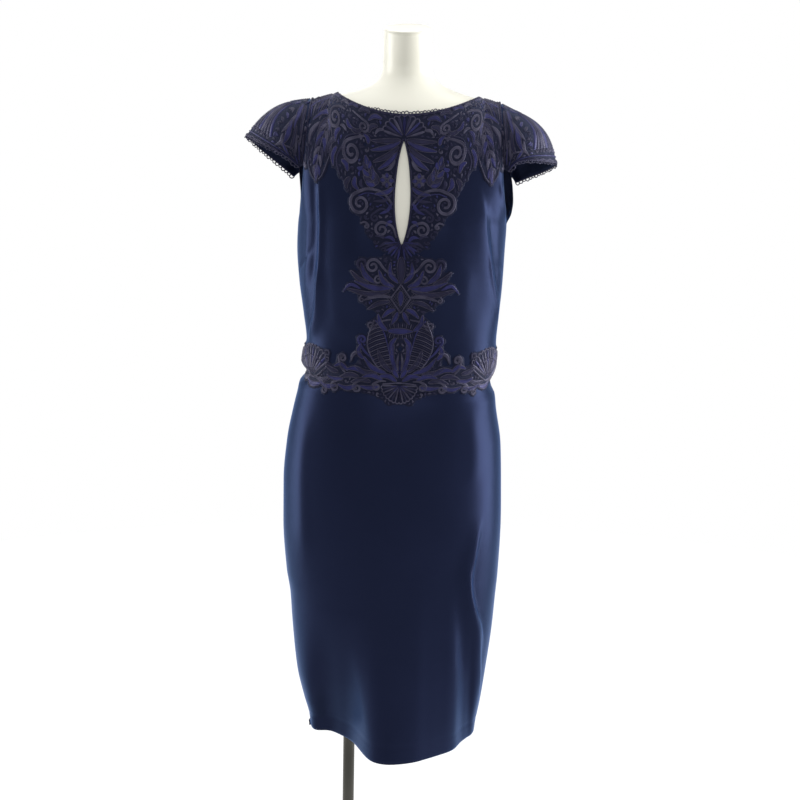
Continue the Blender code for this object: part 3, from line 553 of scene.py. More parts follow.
def sewn(patches):
    """Grids of (outside points, directions, thickness) made into one quad sheet, welded at shared edges."""
    index, points, outs, thick, faces = {}, [], [], [], []
    for grid, out, wide in patches:
        rows, columns = grid.shape[:2]
        ids = np.empty((rows, columns), int)
        for i in range(rows):
            for j in range(columns):
                key = key_of(grid[i, j])
                if key not in index:
                    index[key] = len(points)
                    points.append(grid[i, j])
                    outs.append(out[i, j])
                    thick.append(wide[i, j])
                ids[i, j] = index[key]
        for i in range(rows - 1):
            for j in range(columns - 1):
                face = [ids[i, j], ids[i, j + 1], ids[i + 1, j + 1], ids[i + 1, j]]
                face = [c for k, c in enumerate(face) if c != face[k - 1]]
                if len(set(face)) > 2:
                    faces.append(face)
    return np.array(points), np.array(outs), np.array(thick)[:, None], faces


def shell(name, sheet, kind, lift=0.0, thin=None):
    """A thin closed wall from a sheet: inwards by its thickness, or outwards from a lift by thin."""
    points, outs, thick, faces = sheet
    count = len(points)
    ends = {pair for face in faces for pair in zip(face, face[1:] + face[:1])}
    rims = [(b, a, a + count, b + count) for a, b in sorted(ends) if (b, a) not in ends]
    inside = [tuple(c + count for c in face[::-1]) for face in faces]
    outer = points + outs * (lift + thin if thin else 0)
    inner = points + outs * (lift if thin else -thick)
    return piece(name, np.concatenate([outer, inner]), faces + inside + rims, [kind])


def fine(start, end, step, close=(0.0, 0.9, 2.2, 4.2)):
    """Rows from start to end about a step apart, closer together beside both ends."""
    inner = np.linspace(start + close[-1], end - close[-1], max(2, int(round((end - start) / step))))
    return np.unique(np.concatenate([start + np.array(close), inner, end - np.array(close)]))


def columns(count):
    """Shares across a half panel, closer together beside its ends."""
    close = np.array([0, 0.004, 0.010, 0.019])
    return np.unique(np.concatenate([close, 1 - close, np.linspace(0, 1, count)[2:-2]]))


PANEL_COLUMNS = {FRONT: 92, BACK: 66}
ROWS = {"bodice": fine(WAIST + SEAM, TOP, 4.0), "skirt": fine(HEM, WAIST - SEAM, 4.5)}
ROWS["bodice"] = np.unique([*ROWS["bodice"], KEYHOLE["bottom"], UNDERARM, NOTCH, KEYHOLE["top"]])


def thickness(level):
    """The wall's thickness: more where the hem is turned up."""
    return WALL + HEM_EXTRA * ease((HEM + HEM_TURNED - level) / 6)


def panel(side, sign, levels, keyhole=False):
    """Half of a front panel, or a back panel, as a grid from the middle to the side seam."""
    sigma, level = np.meshgrid(columns(PANEL_COLUMNS[side]), levels)
    s = opened(sign * np.maximum(sigma, 1e-9), level) if keyhole else sign * sigma
    if keyhole:
        s[(sigma == 0) & (keyhole_half(level) == 0)] = 0
    order = slice(None, None, sign * -side)
    points, outs = worn(side, s, level)
    return points[:, order], outs[:, order], thickness(level)[:, order]


cloth = {
    "bodice_front": [panel(FRONT, sign, ROWS["bodice"], True) for sign in (-1, 1)],
    "skirt_front": [panel(FRONT, sign, ROWS["skirt"]) for sign in (-1, 1)],
}
for name, sign in SIDES:
    cloth["bodice_back_" + name] = [panel(BACK, sign, ROWS["bodice"])]
    cloth["skirt_back_" + name] = [panel(BACK, sign, ROWS["skirt"])]
for name, patches in cloth.items():
    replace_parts(shell(name + "_cloth", sewn(patches), "crepe"), name)


# ---- sleeves ----

def sleeve_patch(sign):
    """The cap sleeve's coarse grid, as in the CAD: rows outwards, columns from front notch to back notch."""
    front, back = (surface(side, float(sign), SLEEVE_LEVELS) for side in (FRONT, BACK))
    front_out, back_out = (normal(side, float(sign), SLEEVE_LEVELS) for side in (FRONT, BACK))
    seam = np.concatenate([front[:-1], (front[-1:] + back[-1:]) / 2, back[-2::-1]])
    face = unit(np.concatenate([front_out[:-1], front_out[-1:] + back_out[-1:], back_out[-2::-1]]))
    seam = seam + unit(np.cross(np.gradient(seam, axis=0), face)) * sign * SLEEVE_GAP
    a = (SLEEVE_LEVELS - NOTCH) / (TOP - NOTCH) / 2
    a = np.concatenate([a, 1 - a[-2::-1]])
    hem = np.stack([read(SLEEVES[sign], name, a) for name in "xyz"], -1)
    b = np.linspace(0, 1, 7)[:, None, None]
    crown = unit(np.cross(hem - seam, np.gradient(seam, axis=0))) * sign
    height, skew = SLEEVE_CROWN[sign]
    rise = height * np.sin(math.pi * b ** skew) * np.maximum(np.sin(math.pi * a), 0)[:, None] ** CROWN_POWER
    return seam + (hem - seam) * b + crown * rise


def refined(grid, rows, cols):
    """The grid on smooth curves through its points, rows x cols."""
    def along(g, count):
        n = len(g)
        at = np.linspace(0, n - 1, count)
        i = np.clip(at.astype(int), 0, n - 2)
        t = (at - i)[:, None, None]
        slope = np.gradient(g, axis=0)
        return hermite(g[i], slope[i], g[i + 1], slope[i + 1], t)
    return along(along(grid, rows).transpose(1, 0, 2), cols).transpose(1, 0, 2)


def directions(grid, sign):
    return unit(np.cross(np.gradient(grid, axis=1), np.gradient(grid, axis=0))) * -sign


def sleeve_sheet(sign, first=0):
    """A sleeve's sheet, from its row first to its hem."""
    grid, out = (g[first:, ::-sign] for g in SLEEVE_GRIDS[sign])
    return sewn([(grid, out, np.full(grid.shape[:2], WALL))])


SLEEVE_GRIDS = {}
for name, sign in SIDES:
    grid = refined(sleeve_patch(sign), 41, 101)
    SLEEVE_GRIDS[sign] = (grid, directions(grid, sign))
    node = "sleeve_" + name
    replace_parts(shell(node + "_cloth", sleeve_sheet(sign), "crepe"), node)


# ---- lace: the ground, and stitching raised on it ----

class Carrier:
    """A face of cloth laid out flat: places (u, v) in mm to points on it and outward directions."""

    def __init__(self, points, outs, u, v, inside):
        self.points, self.outs, self.u, self.v, self.inside = points, outs, u, v, inside

    def at(self, place):
        i = np.interp(place[..., 1], self.v, np.arange(len(self.v)))
        j = np.interp(place[..., 0], self.u, np.arange(len(self.u)))
        return bilinear(self.points, i, j), unit(bilinear(self.outs, i, j))


def front_carrier():
    s, levels, w = ARCS[FRONT]
    keep = levels > 900
    levels, w = levels[keep], w[keep]
    u = np.arange(-214, 214.1, 2.0)
    grid = np.array([np.interp(u, row, s) for row in w])
    points, outs = worn(FRONT, grid, np.repeat(levels[:, None], len(u), axis=1))
    low, high = w[:, 0], w[:, -1]

    def inside(place):
        level = place[..., 1]
        left, right = np.interp(level, levels, low) - 1.5, np.interp(level, levels, high) + 1.5
        clear = np.abs(place[..., 0]) > keyhole_half(level) - 1.2
        return (place[..., 0] > left) & (place[..., 0] < right) & clear & (level < TOP + 0.5)
    return Carrier(points, outs, u, levels, inside)


def sleeve_carrier(sign):
    """u runs along the armhole from front to back, -100 to 100, and v outwards from 0 to 100 at the hem."""
    grid, out = SLEEVE_GRIDS[sign]
    u, v = np.linspace(-100, 100, grid.shape[1]), np.linspace(0, 100, grid.shape[0])
    return Carrier(grid, out, u, v, lambda place: (place[..., 1] > 0) & (np.abs(place[..., 0]) < 99.5))


def lengths_along(line):
    return np.concatenate([[0], np.cumsum(np.linalg.norm(np.diff(line, axis=0), axis=1))])


def sampled(at, length, line):
    """Points at the given lengths along a line of points."""
    return np.stack([np.interp(at, length, column) for column in line.T], -1)


KINDS = ["black", "violet", "grey"]
RAISED, CORDED_FROM = 0.75, 6
SPREAD, LATTICE_ANGLE, BEND = 52, 40, 0.22


def circle(angle):
    return np.stack([np.cos(angle), np.sin(angle)], -1)


class Stitching:
    """Strips of satin stitches laid on a carrier; a mirrored copy goes with each unless told otherwise.

    RAISED scales all heights. Leaves as wide as CORDED_FROM mm get a cord. The angles are in degrees:
    SPREAD is a spray's lobes from its stem, and LATTICE_ANGLE the crossed threads from upright. BEND is the
    share of its length by which a leaf bows.
    """

    def __init__(self, carrier, step=1.15, lift=0.5):
        self.carrier, self.step, self.lift = carrier, step, lift
        self.points, self.faces, self.which, self.count = [], [], [], 0
        self.corner = np.array([carrier.u[0], carrier.v[0]])
        self.taken = np.zeros((int(np.ptp(carrier.v)) + 3, int(np.ptp(carrier.u)) + 3), bool)

    def strip(self, path, half, height, kind, skew=0.0, vein=0.0, rib=0.42, across=5, mirror=True, base=0.0):
        """A band along a path; half is its half width (one number, or values spaced evenly along it)."""
        dense = smooth_path(path, (24 if len(path) < 12 else 4) * len(path))
        length = lengths_along(dense)
        total = length[-1]
        rows = max(4, int(total / self.step))
        half = np.atleast_1d(np.asarray(half, float))
        widths = np.linspace(0, total, len(half))
        a = np.linspace(-1, 1, across)
        at = np.linspace(0, total, rows)[:, None]
        lean = np.interp(at, widths, half) if len(half) > 1 else np.full(at.shape, half[0])
        at = np.clip(at + np.abs(a) * lean * skew, 0, total)
        wide = np.interp(at, widths, half) if len(half) > 1 else np.full(at.shape, half[0])
        centre, ahead, behind = (sampled(at + part, length, dense) for part in (0, 0.6, -0.6))
        d = unit(ahead - behind)
        place = centre + np.stack([-d[..., 1], d[..., 0]], -1) * (a * wide)[..., None]
        round_off = np.sqrt(np.maximum(1 - a * a, 0)) * (1 - vein * np.exp(-(a / 0.3) ** 2))
        along = np.linspace(0, total, rows)
        ends = np.sqrt(np.clip(np.minimum(along, total - along) / 1.5, 0.02, 1))[:, None]
        waves = 1 + rib * (np.arange(rows)[:, None] % 2 * 2 - 1) * (round_off > 0)
        tall = RAISED * height * round_off * ends * waves + base - 0.25 * (round_off == 0)
        for flip in ((1, -1) if mirror else (1,)):
            self.add(place * (flip, 1), tall, KINDS.index(kind), flip)

    def cell(self, place):
        """The cells of the map of taken places that these places fall in."""
        found = np.clip((place - self.corner).round().astype(int), 0, np.array(self.taken.shape)[::-1] - 1)
        return found[..., 1], found[..., 0]

    def add(self, place, tall, kind, flip):
        """A grid of places, raised by tall, as faces of one thread."""
        rows, cols = place.shape[:2]
        points, outs = self.carrier.at(place)
        points = points + outs * (self.lift + tall)[..., None]
        ok = self.carrier.inside(place)
        self.taken[self.cell(place)] = True
        ids = np.arange(rows * cols).reshape(rows, cols) + self.count
        quads = np.stack([ids[:-1, :-1], ids[:-1, 1:], ids[1:, 1:], ids[1:, :-1]], -1)
        good = ok[:-1, :-1] & ok[:-1, 1:] & ok[1:, 1:] & ok[1:, :-1]
        quads = quads[good]
        self.faces.append(quads if flip < 0 else quads[:, ::-1])
        self.which.append(np.full(len(quads), kind))
        self.points.append(points.reshape(-1, 3))
        self.count += rows * cols

    def cord(self, path, half=1.3, height=1.3, kind="grey", **more):
        self.strip(path, half, height, kind, across=4, **more)

    def curl(self, path, radius, turns, hand, half=1.7, height=1.5, kind="grey", **more):
        """A cord that ends in a spiral; hand +1 turns left."""
        dense = smooth_path(path, 24)
        d = unit(dense[-1] - dense[-3])
        centre = dense[-1] + np.array([-d[1], d[0]]) * hand * radius
        start = math.atan2(*(dense[-1] - centre)[::-1])
        turn = np.linspace(0, turns * 2 * math.pi, int(16 * turns) + 4)[1:]
        fade = radius * (1 - 0.8 * turn / turn[-1])
        spiral = centre + circle(start + hand * turn) * fade[:, None]
        widths = np.concatenate([np.linspace(0.7, 1.15, 6), np.linspace(1.15, 0.9, 8)]) * half
        path = np.concatenate([dense[::2], spiral])
        self.strip(path, widths, height, kind, skew=0.5, vein=0.75, across=7, **more)

    def leaf(self, path, wide, kind, height=1.5, edge=None, **more):
        """A pointed leaf of satin stitches with a vein, and a cord round it if wide or if edge is given."""
        if wide >= CORDED_FROM and kind != "grey":
            edge = edge or "grey"
        t = np.linspace(0, 1, 15)
        widths = wide / 2 * np.sin(math.pi * t ** 0.8) ** 0.75 + 0.25
        self.strip(path, widths, height, kind, skew=0.9, vein=0.55, across=7, **more)
        if edge:
            dense = smooth_path(path, 15)
            d = unit(np.gradient(dense, axis=0))
            side = np.stack([-d[:, 1], d[:, 0]], -1)
            for sign in (-1, 1):
                self.cord(dense + side * sign * (widths + 0.2)[:, None], 0.62, 1.5, edge, **more)

    def leaves(self, height, rows, flip=1, **more):
        """Leaves from rows of thread, width and the x and y of three points."""
        for kind, wide, *numbers in rows:
            self.leaf(np.reshape(numbers, (3, 2)) * (flip, 1), wide, kind, height, **more)

    def curls(self, rows):
        """Curls from rows of thread, radius, turns, hand, half width, height, then x and y of 3 points."""
        for kind, radius, turns, hand, half, height, *numbers in rows:
            self.curl(np.reshape(numbers, (3, 2)), radius, turns, hand, half, height, kind)

    def fan(self, centre, radius, first, last, ribs, kinds, rim=None, inner=0.12, **more):
        """Narrow leaves spread from a centre between two angles in degrees from straight up, clockwise."""
        angles = np.radians(np.linspace(first, last, ribs))
        width = 2 * radius * math.pi * abs(last - first) / 360 / max(ribs - 1, 1) * 0.55
        widths = width / 2 * (0.25 + 0.75 * np.sin(math.pi * np.linspace(0, 1, 12) ** 1.6 * 0.93) ** 0.8)
        for k, angle in enumerate(angles):
            d = np.array([math.sin(angle), math.cos(angle)])
            start, end = np.array(centre) + d * radius * inner, np.array(centre) + d * radius
            self.strip([start, (start + end) / 2, end], widths, 1.4, kinds[k % len(kinds)], vein=0.4, **more)
        if rim:
            out = radius * (1.0 + 0.09 * np.sin(np.linspace(0, math.pi, 7)))
            for a, b in zip(angles, angles[1:]):
                turn = np.linspace(a, b, 7)
                arc = np.array(centre) + np.stack([np.sin(turn), np.cos(turn)], -1) * out[:, None]
                self.cord(arc, 1.1, 1.4, rim, **more)

    def spray(self, stem, lobes, length, wide, kinds, **more):
        """A feathered leaf: lobes on both sides of a stem, shorter towards its tip."""
        dense = smooth_path(stem, 40)
        for k in range(lobes):
            t = 0.06 + 0.8 * k / lobes
            p = dense[int(t * 39)]
            d = unit(dense[min(int(t * 39) + 2, 39)] - p)
            reach = length * (1 - 0.55 * t)
            for sign in (-1, 1):
                turn = math.radians(SPREAD) * sign
                e = np.array([d[0] * math.cos(turn) - d[1] * math.sin(turn),
                              d[0] * math.sin(turn) + d[1] * math.cos(turn)])
                path = [p, p + e * reach * 0.55, p + (e * 0.8 + d * 0.45) * reach]
                self.leaf(path, wide * (1 - 0.3 * t), kinds[(k + (sign > 0)) % len(kinds)], 1.3, **more)
        self.leaf([dense[28], dense[-1]], wide, kinds[0], 1.5, **more)
        self.cord(dense[:36], 0.8, 1.6, "grey", **more)

    def rosette(self, centre, radius, petals, kinds):
        centre = np.array(centre)
        for k in range(petals):
            d = circle(2 * math.pi * k / petals)
            stem = [centre + d * radius * 0.25, centre + d * radius]
            self.leaf(stem, radius * 0.62, kinds[k % len(kinds)], 1.3)
        fade = np.linspace(radius * 0.3, 0.6, 20)[:, None]
        self.cord(centre + circle(np.linspace(0, 4 * math.pi, 20)) * fade, 0.9, 1.8, "grey")

    def lattice(self, outline, step, kind, **more):
        """Fine crossed threads inside a closed outline."""
        outline = np.asarray(outline, float)
        middle, reach = outline.mean(axis=0), np.ptp(outline, axis=0).max()
        ring = np.concatenate([outline, outline[:1]])
        for turn in (math.radians(LATTICE_ANGLE), math.radians(-LATTICE_ANGLE)):
            n, d = circle(-turn), np.array([math.sin(turn), math.cos(turn)])
            for k in np.arange(-reach, reach, step):
                hits = []
                for a, b in zip(ring, ring[1:]):
                    u, v = (a - middle) @ n - k, (b - middle) @ n - k
                    if u * v < 0:
                        hits.append((a + (b - a) * u / (u - v) - middle) @ d)
                hits.sort()
                start = middle + n * k
                for low, high in zip(hits[::2], hits[1::2]):
                    if high - low > 2:
                        self.cord([start + d * low, start + d * high], 0.34, 0.7, kind, rib=0, **more)

    def near(self, place, reach):
        """Whether any stitching lies within reach of each place."""
        grown = self.taken.copy()
        for dy in range(-reach, reach + 1):
            for dx in range(-reach, reach + 1):
                if dx * dx + dy * dy <= reach * reach:
                    grown |= np.roll(self.taken, (dy, dx), (0, 1))
        return grown[self.cell(place)]

    def fill(self, sizes, inside, mirror=True):
        """Small curls, leaves and sprigs in what is still free, the largest first."""
        rows, cols = self.taken.shape
        for radius in sizes:
            around = np.array([(radius, 0), (-radius, 0), (0, radius), (0, -radius)])
            reach = int(radius)
            for i, v in enumerate(np.arange(0, rows, radius * 0.7)):
                for j, u in enumerate(np.arange(0, cols, radius * 0.7)):
                    place = self.corner + np.array([u + (i % 2) * radius * 0.35, v])
                    if (mirror and place[0] < radius * 0.8) or not inside(place):
                        continue
                    x, y = (place - self.corner).astype(int)
                    used = self.taken[max(y - reach, 0):y + reach + 1, max(x - reach, 0):x + reach + 1]
                    if not used.any() and self.carrier.inside(place + around).all():
                        self.sprig(place, radius, i * 7 + j * 5, mirror)

    def sprig(self, place, radius, k, mirror):
        """A small curl, leaf or three leaves; k sets which, its thread and the way it points."""
        d = circle(k * 2.4 + place[0] * 0.05)
        n = np.array([-d[1], d[0]])
        if k % 3 == 0 and radius > 3.5:
            path = [place - (d * 0.9 + n * 0.5) * radius, place - (d * 0.1 + n * 0.75) * radius,
                    place + (d * 0.5 - n * 0.35) * radius]
            half = 0.5 + radius * 0.12
            self.curl(path, radius * 0.42, 1.2, 1, half, 1.5, ("grey", "black")[k % 2], mirror=mirror)
        elif k % 3 == 1 or radius <= 3.5:
            path = [place - d * radius * 0.95, place + n * radius * 0.3, place + d * radius * 0.95]
            kind = ("violet", "black", "grey", "black")[k % 4]
            self.leaf(path, radius * 0.95, kind, 1.4, mirror=mirror)
        else:
            base = place - d * radius * 0.85
            kind = ("violet", "black", "grey")[(k // 3) % 3]
            for turn in (-0.55, 0, 0.55):
                e = d * math.cos(turn) + n * math.sin(turn)
                self.leaf([base, base + e * radius * 1.6], radius * 0.55, kind, 1.4, mirror=mirror)

    def build(self, name):
        faces = np.concatenate(self.faces)
        used = np.unique(faces)
        new = np.full(self.count, -1)
        new[used] = np.arange(len(used))
        return piece(name, np.concatenate(self.points)[used], new[faces], KINDS, np.concatenate(self.which))


front = front_carrier()


def ground(name, node, stitching, levels, keyhole=False):
    """The lace's net: a thin wall over the crepe, under the stitching and a little round it."""
    faces, all_points, all_outs, index = [], [], [], {}
    for sign in (-1, 1):
        sigma, level = np.meshgrid(np.linspace(0, 1, 76), levels)
        s = opened(sign * np.maximum(sigma, 1e-9), level) if keyhole else sign * sigma
        points, outs = worn(FRONT, s, level)
        ok = stitching.near(np.stack([w_of(FRONT, s, level), level], -1), 3)
        for i in range(level.shape[0] - 1):
            for j in range(level.shape[1] - 1):
                face = []
                for c in ((i, j), (i, j + 1), (i + 1, j + 1), (i + 1, j)):
                    if ok[c]:
                        key = key_of(points[c])
                        if key not in index:
                            index[key] = len(all_points)
                            all_points.append(points[c])
                            all_outs.append(outs[c])
                        if index[key] not in face:
                            face.append(index[key])
                if len(face) > 2:
                    faces.append(face if sign > 0 else face[::-1])
    sheet = (np.array(all_points), np.array(all_outs), None, faces)
    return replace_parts(shell(name, sheet, "net", NET_LIFT, NET), node)


def embroider_yoke():
    e = Stitching(front)
    # Cord round the keyhole and along the neckline.
    levels = np.linspace(KEYHOLE["bottom"] - 3, KEYHOLE["top"] + 3, 40)
    e.cord(np.stack([keyhole_half(levels) + 1.6, levels], -1), 1.3, 1.5, "black")
    neck_w = np.linspace(0, 158, 60)
    e.cord(np.stack([neck_w, TOP - 1.6 + 0.9 * np.sin(neck_w * 0.55)], -1), 1.4, 1.7, "black")
    # Palmette at the middle of the neckline, and long leaves that fall away to both sides.
    e.fan((0, 1334), 31, 0, 78, 6, ["violet", "black", "grey"], rim="grey")
    e.leaves(1.7, [
        ("black", 6.5, 4, 1330, 20, 1327, 50, 1322), ("violet", 7, 5, 1328, 22, 1318, 50, 1308),
        ("black", 7, 7, 1320, 22, 1306, 46, 1293), ("violet", 6.5, 9, 1312, 22, 1296, 38, 1284),
        ("grey", 5.5, 12, 1300, 20, 1288, 28, 1284), ("violet", 6, 14, 1262, 24, 1254, 42, 1250),
        ("black", 5, 15, 1252, 27, 1242, 44, 1240), ("violet", 5, 15, 1240, 22, 1228, 34, 1222)])
    e.rosette((24, 1271), 10.5, 8, ["violet", "grey"])
    e.spray([(40, 1262), (50, 1276), (58, 1300)], 4, 15, 7, ["violet", "black"])
    # Scrolls.
    e.curl([(14, 1236), (30, 1253), (52, 1257), (70, 1250)], 16, 1.5, -1, 2.2, 1.9, "grey")
    e.cord([(15, 1230), (32, 1247), (52, 1251), (66, 1246)], 0.9, 1.2, "violet")
    e.curl([(60, 1326), (74, 1320), (88, 1312)], 15, 1.6, -1, 2.3, 2.0, "grey")
    e.cord([(52, 1330), (70, 1326), (92, 1314), (97, 1296)], 1.1, 1.4, "black")
    e.curls([
        ("grey", 9, 1.5, 1, 1.8, 1.7, 86, 1356, 74, 1352, 60, 1347),
        ("grey", 16, 1.6, -1, 2.3, 2.0, 100, 1352, 112, 1352, 126, 1346),
        ("grey", 11, 1.4, -1, 1.9, 1.7, 8, 1188, 14, 1204, 26, 1210),
        ("black", 6, 1.2, -1, 1.4, 1.4, 16, 1222, 30, 1230, 44, 1222),
        ("black", 6, 1.2, 1, 1.4, 1.4, 96, 1270, 104, 1286, 98, 1300)])
    # Leaves along the neckline, over the shoulder and down to the points beside the armholes.
    for kind, wide, x, y, dx, dy in [
            ("violet", 6.5, 34, 1358, 22, -8), ("black", 6, 40, 1346, 14, -14),
            ("black", 6, 54, 1362, 20, -3), ("violet", 6, 76, 1364, 20, -4), ("grey", 5, 30, 1342, 14, -10),
            ("grey", 6, 96, 1362, 20, -3), ("violet", 6, 94, 1340, -14, -10),
            ("violet", 6.5, 104, 1322, 6, -20), ("black", 6, 86, 1330, -22, 6),
            ("violet", 6, 126, 1364, 24, -4), ("grey", 6.5, 150, 1362, 22, -8),
            ("violet", 6.5, 146, 1352, 26, -8), ("black", 6.5, 144, 1340, 26, -6),
            ("violet", 6.5, 140, 1328, 24, -8), ("black", 6, 172, 1362, 20, -10),
            ("violet", 6.5, 168, 1352, 16, -22), ("grey", 7, 150, 1318, 6, -24),
            ("black", 6, 110, 1306, 10, -18), ("violet", 6, 106, 1298, 2, -20),
            ("violet", 6, 84, 1276, 12, 10), ("black", 6, 80, 1270, 4, -16),
            ("violet", 6.5, 72, 1272, -6, -18), ("black", 5.5, 62, 1270, -4, -14),
            ("violet", 5, 70, 1282, -10, 4), ("violet", 6, 54, 1316, 8, 12), ("grey", 5, 66, 1318, 6, 10),
            ("black", 5, 120, 1300, 2, -16), ("violet", 5, 14, 1212, 10, -8),
            ("violet", 5, 10, 1182, 16, 6), ("black", 5, 12, 1176, 22, -2), ("violet", 5, 6, 1174, 14, -10),
            ("black", 5, 26, 1186, 14, 4), ("grey", 5, 92, 1322, 14, 4)]:
        middle = (x + dx * 0.5 - dy * BEND, y + dy * 0.5 + dx * BEND)
        e.leaf([(x, y), middle, (x + dx, y + dy)], wide, kind, 1.5)
    # Net-filled pointed leaf beside the armhole.
    edge = smooth_path([(128, 1322), (116, 1300), (121, 1276), (138, 1258), (152, 1276), (154, 1300),
                        (146, 1322)], 40)
    e.spray([(137, 1326), (135, 1296), (138, 1256)], 7, 17, 6.5, ["violet", "black", "grey"])
    e.cord(edge[:19], 0.8, 1.4, "grey")
    e.cord(edge[21:], 0.8, 1.4, "black")
    # Shell over the shoulder point.
    e.fan((150, 1296), 62, 6, 46, 9, ["violet", "black", "grey"], rim="grey", inner=0.55)
    return e


def embroider_column():
    e = Stitching(front)
    e.fan((0, 1182), 27, 96, 180, 8, ["violet", "black"])
    e.leaf([(0, 1160), (0, 1140), (0, 1118)], 11, "black", 1.8, edge="grey", mirror=False)
    e.leaves(1.7, [
        ("violet", 6, 4, 1120, 16, 1134, 16, 1152), ("violet", 7, 10, 1114, 26, 1122, 34, 1140),
        ("violet", 8, 14, 1112, 40, 1112, 70, 1122), ("black", 7, 16, 1108, 46, 1102, 84, 1110),
        ("violet", 7, 40, 1120, 54, 1132, 60, 1150), ("black", 6, 48, 1118, 64, 1126, 76, 1138),
        ("grey", 6.5, 14, 1098, 34, 1100, 58, 1092), ("black", 6, 16, 1092, 34, 1088, 50, 1078),
        ("violet", 6, 8, 1080, 18, 1076, 28, 1066), ("violet", 6, 4, 1076, 8, 1066, 14, 1056),
        ("violet", 5, 60, 1110, 76, 1116, 88, 1104), ("violet", 6, 6, 1036, 14, 1024, 12, 1008),
        ("violet", 6.5, 20, 1046, 30, 1056, 34, 1072), ("violet", 6, 4, 984, 12, 1004, 10, 1026),
        ("black", 7, 12, 982, 26, 996, 34, 1016), ("violet", 7, 20, 980, 42, 988, 56, 1004),
        ("violet", 6, 56, 1000, 64, 1010, 60, 1024), ("grey", 4, 2, 984, 4, 996, 2, 1012),
        ("black", 6, 34, 980, 52, 980, 70, 988), ("grey", 5, 58, 1012, 72, 1006, 76, 994)])
    e.curls([
        ("grey", 11, 1.35, -1, 2.0, 1.8, 8, 1132, 22, 1138, 34, 1152),
        ("black", 8, 1.2, 1, 1.8, 1.7, 26, 1110, 48, 1126, 64, 1144),
        ("grey", 7, 1.2, -1, 1.5, 1.5, 10, 1108, 22, 1124, 30, 1130),
        ("grey", 6, 1.3, 1, 1.5, 1.5, 14, 1064, 30, 1060, 40, 1050),
        ("violet", 7, 1.3, 1, 1.9, 1.7, 40, 1000, 54, 1012, 64, 1026),
        ("grey", 4, 1.2, -1, 1.2, 1.3, 44, 1096, 56, 1102, 62, 1096)])
    # Diamond and its bands of crossed threads.
    diamond = [(0, 1118), (15, 1097), (0, 1074), (-15, 1097)]
    e.lattice(diamond, 3.2, "grey", mirror=False)
    for a, b in zip(diamond, diamond[1:] + diamond[:1]):
        e.cord([a, b], 1.2, 1.6, "grey", mirror=False)
    e.leaf([(0, 1108), (0, 1097), (0, 1085)], 8, "violet", 1.6, mirror=False)
    band = [(16, 1104), (24, 1104), (12, 1066), (3, 1070)]
    e.lattice(band, 2.8, "grey")
    # Almond with ribbed rims.
    e.leaf([(-19, 1046), (0, 1046), (19, 1046)], 9, "violet", 1.8, mirror=False)
    for sign in (-1, 1):
        for k in range(13):
            x = -18 + 3 * k
            high = 4.8 * (1 - (x / 21) ** 2) ** 0.5 + 0.6
            e.cord([(x, 1046 + sign * high), (x * 1.12, 1046 + sign * (high + 7))], 0.8, 1.3,
                   "grey" if k % 2 else "black", mirror=False)
    # Ribbed wings.
    wing = smooth_path([(10, 988), (18, 1020), (26, 1046), (38, 1062)], 26)
    outer = smooth_path([(30, 984), (44, 1004), (50, 1028), (40, 1062)], 26)
    for k in range(1, 25):
        e.cord([wing[k], (wing[k] + outer[k]) / 2 + (0, 1.5), outer[k]], 0.95, 1.4, ("grey", "black")[k % 2])
    e.cord(wing, 1.1, 1.7, "violet")
    e.cord(outer, 1.3, 1.8, "grey")
    e.fan((0, 980), 20, 0, 70, 5, ["violet", "black"], inner=0.1)
    return e


def embroider_waist():
    e = Stitching(front)
    # Half-round pendant.
    e.fan((0, 962), 26, 180, 92, 8, ["black", "grey"], rim="grey")
    e.fan((0, 962), 13, 180, 100, 5, ["violet", "black"])
    e.cord([(-26, 963), (0, 966), (26, 963)], 1.4, 1.8, "grey", mirror=False)
    e.leaves(1.6, [
        ("violet", 7, 4, 968, 18, 976, 34, 974), ("violet", 6, 2, 974, 8, 984, 6, 994),
        ("violet", 7, 26, 970, 42, 976, 58, 972), ("violet", 6.5, 30, 960, 46, 956, 62, 958),
        ("black", 6, 44, 966, 60, 968, 76, 962), ("violet", 7, 50, 976, 66, 984, 84, 982),
        ("black", 6.5, 62, 972, 78, 974, 94, 968), ("violet", 6.5, 66, 958, 82, 952, 98, 956),
        ("violet", 6, 80, 980, 92, 988, 104, 984), ("violet", 6, 88, 966, 104, 964, 118, 968),
        ("black", 6, 96, 976, 108, 978, 120, 984), ("violet", 6.5, 100, 954, 118, 950, 134, 956),
        ("black", 6, 112, 964, 128, 958, 144, 960), ("violet", 6.5, 130, 952, 150, 948, 168, 954),
        ("grey", 6, 160, 958, 176, 952, 190, 956), ("black", 6, 172, 962, 184, 964, 196, 972)])
    e.curls([
        ("grey", 6, 1.4, -1, 1.9, 2.0, 20, 968, 30, 968, 38, 964),
        ("grey", 7, 1.4, -1, 1.8, 1.8, 52, 970, 62, 966, 70, 960),
        ("grey", 6.5, 1.4, 1, 1.9, 2.0, 84, 976, 92, 984, 96, 996),
        ("grey", 7, 1.4, -1, 1.8, 1.8, 88, 966, 98, 962, 106, 958),
        ("black", 5, 1.3, 1, 1.6, 1.7, 110, 984, 118, 990, 122, 1000),
        ("grey", 6, 1.3, 1, 1.9, 1.9, 188, 966, 198, 976, 198, 990),
        ("grey", 5, 1.3, 1, 1.5, 1.6, 134, 962, 126, 956, 118, 948)])
    # Shell near the side seam.
    e.fan((150, 962), 44, -52, 58, 12, ["grey", "violet", "grey", "black"], rim="grey", inner=0.1)
    e.fan((150, 962), 30, -46, 52, 9, ["black", "grey"], rim="black", inner=0.2, base=0.5)
    e.cord([(116, 982), (132, 968), (150, 958), (170, 964), (190, 980)], 1.6, 2.0, "grey")
    return e


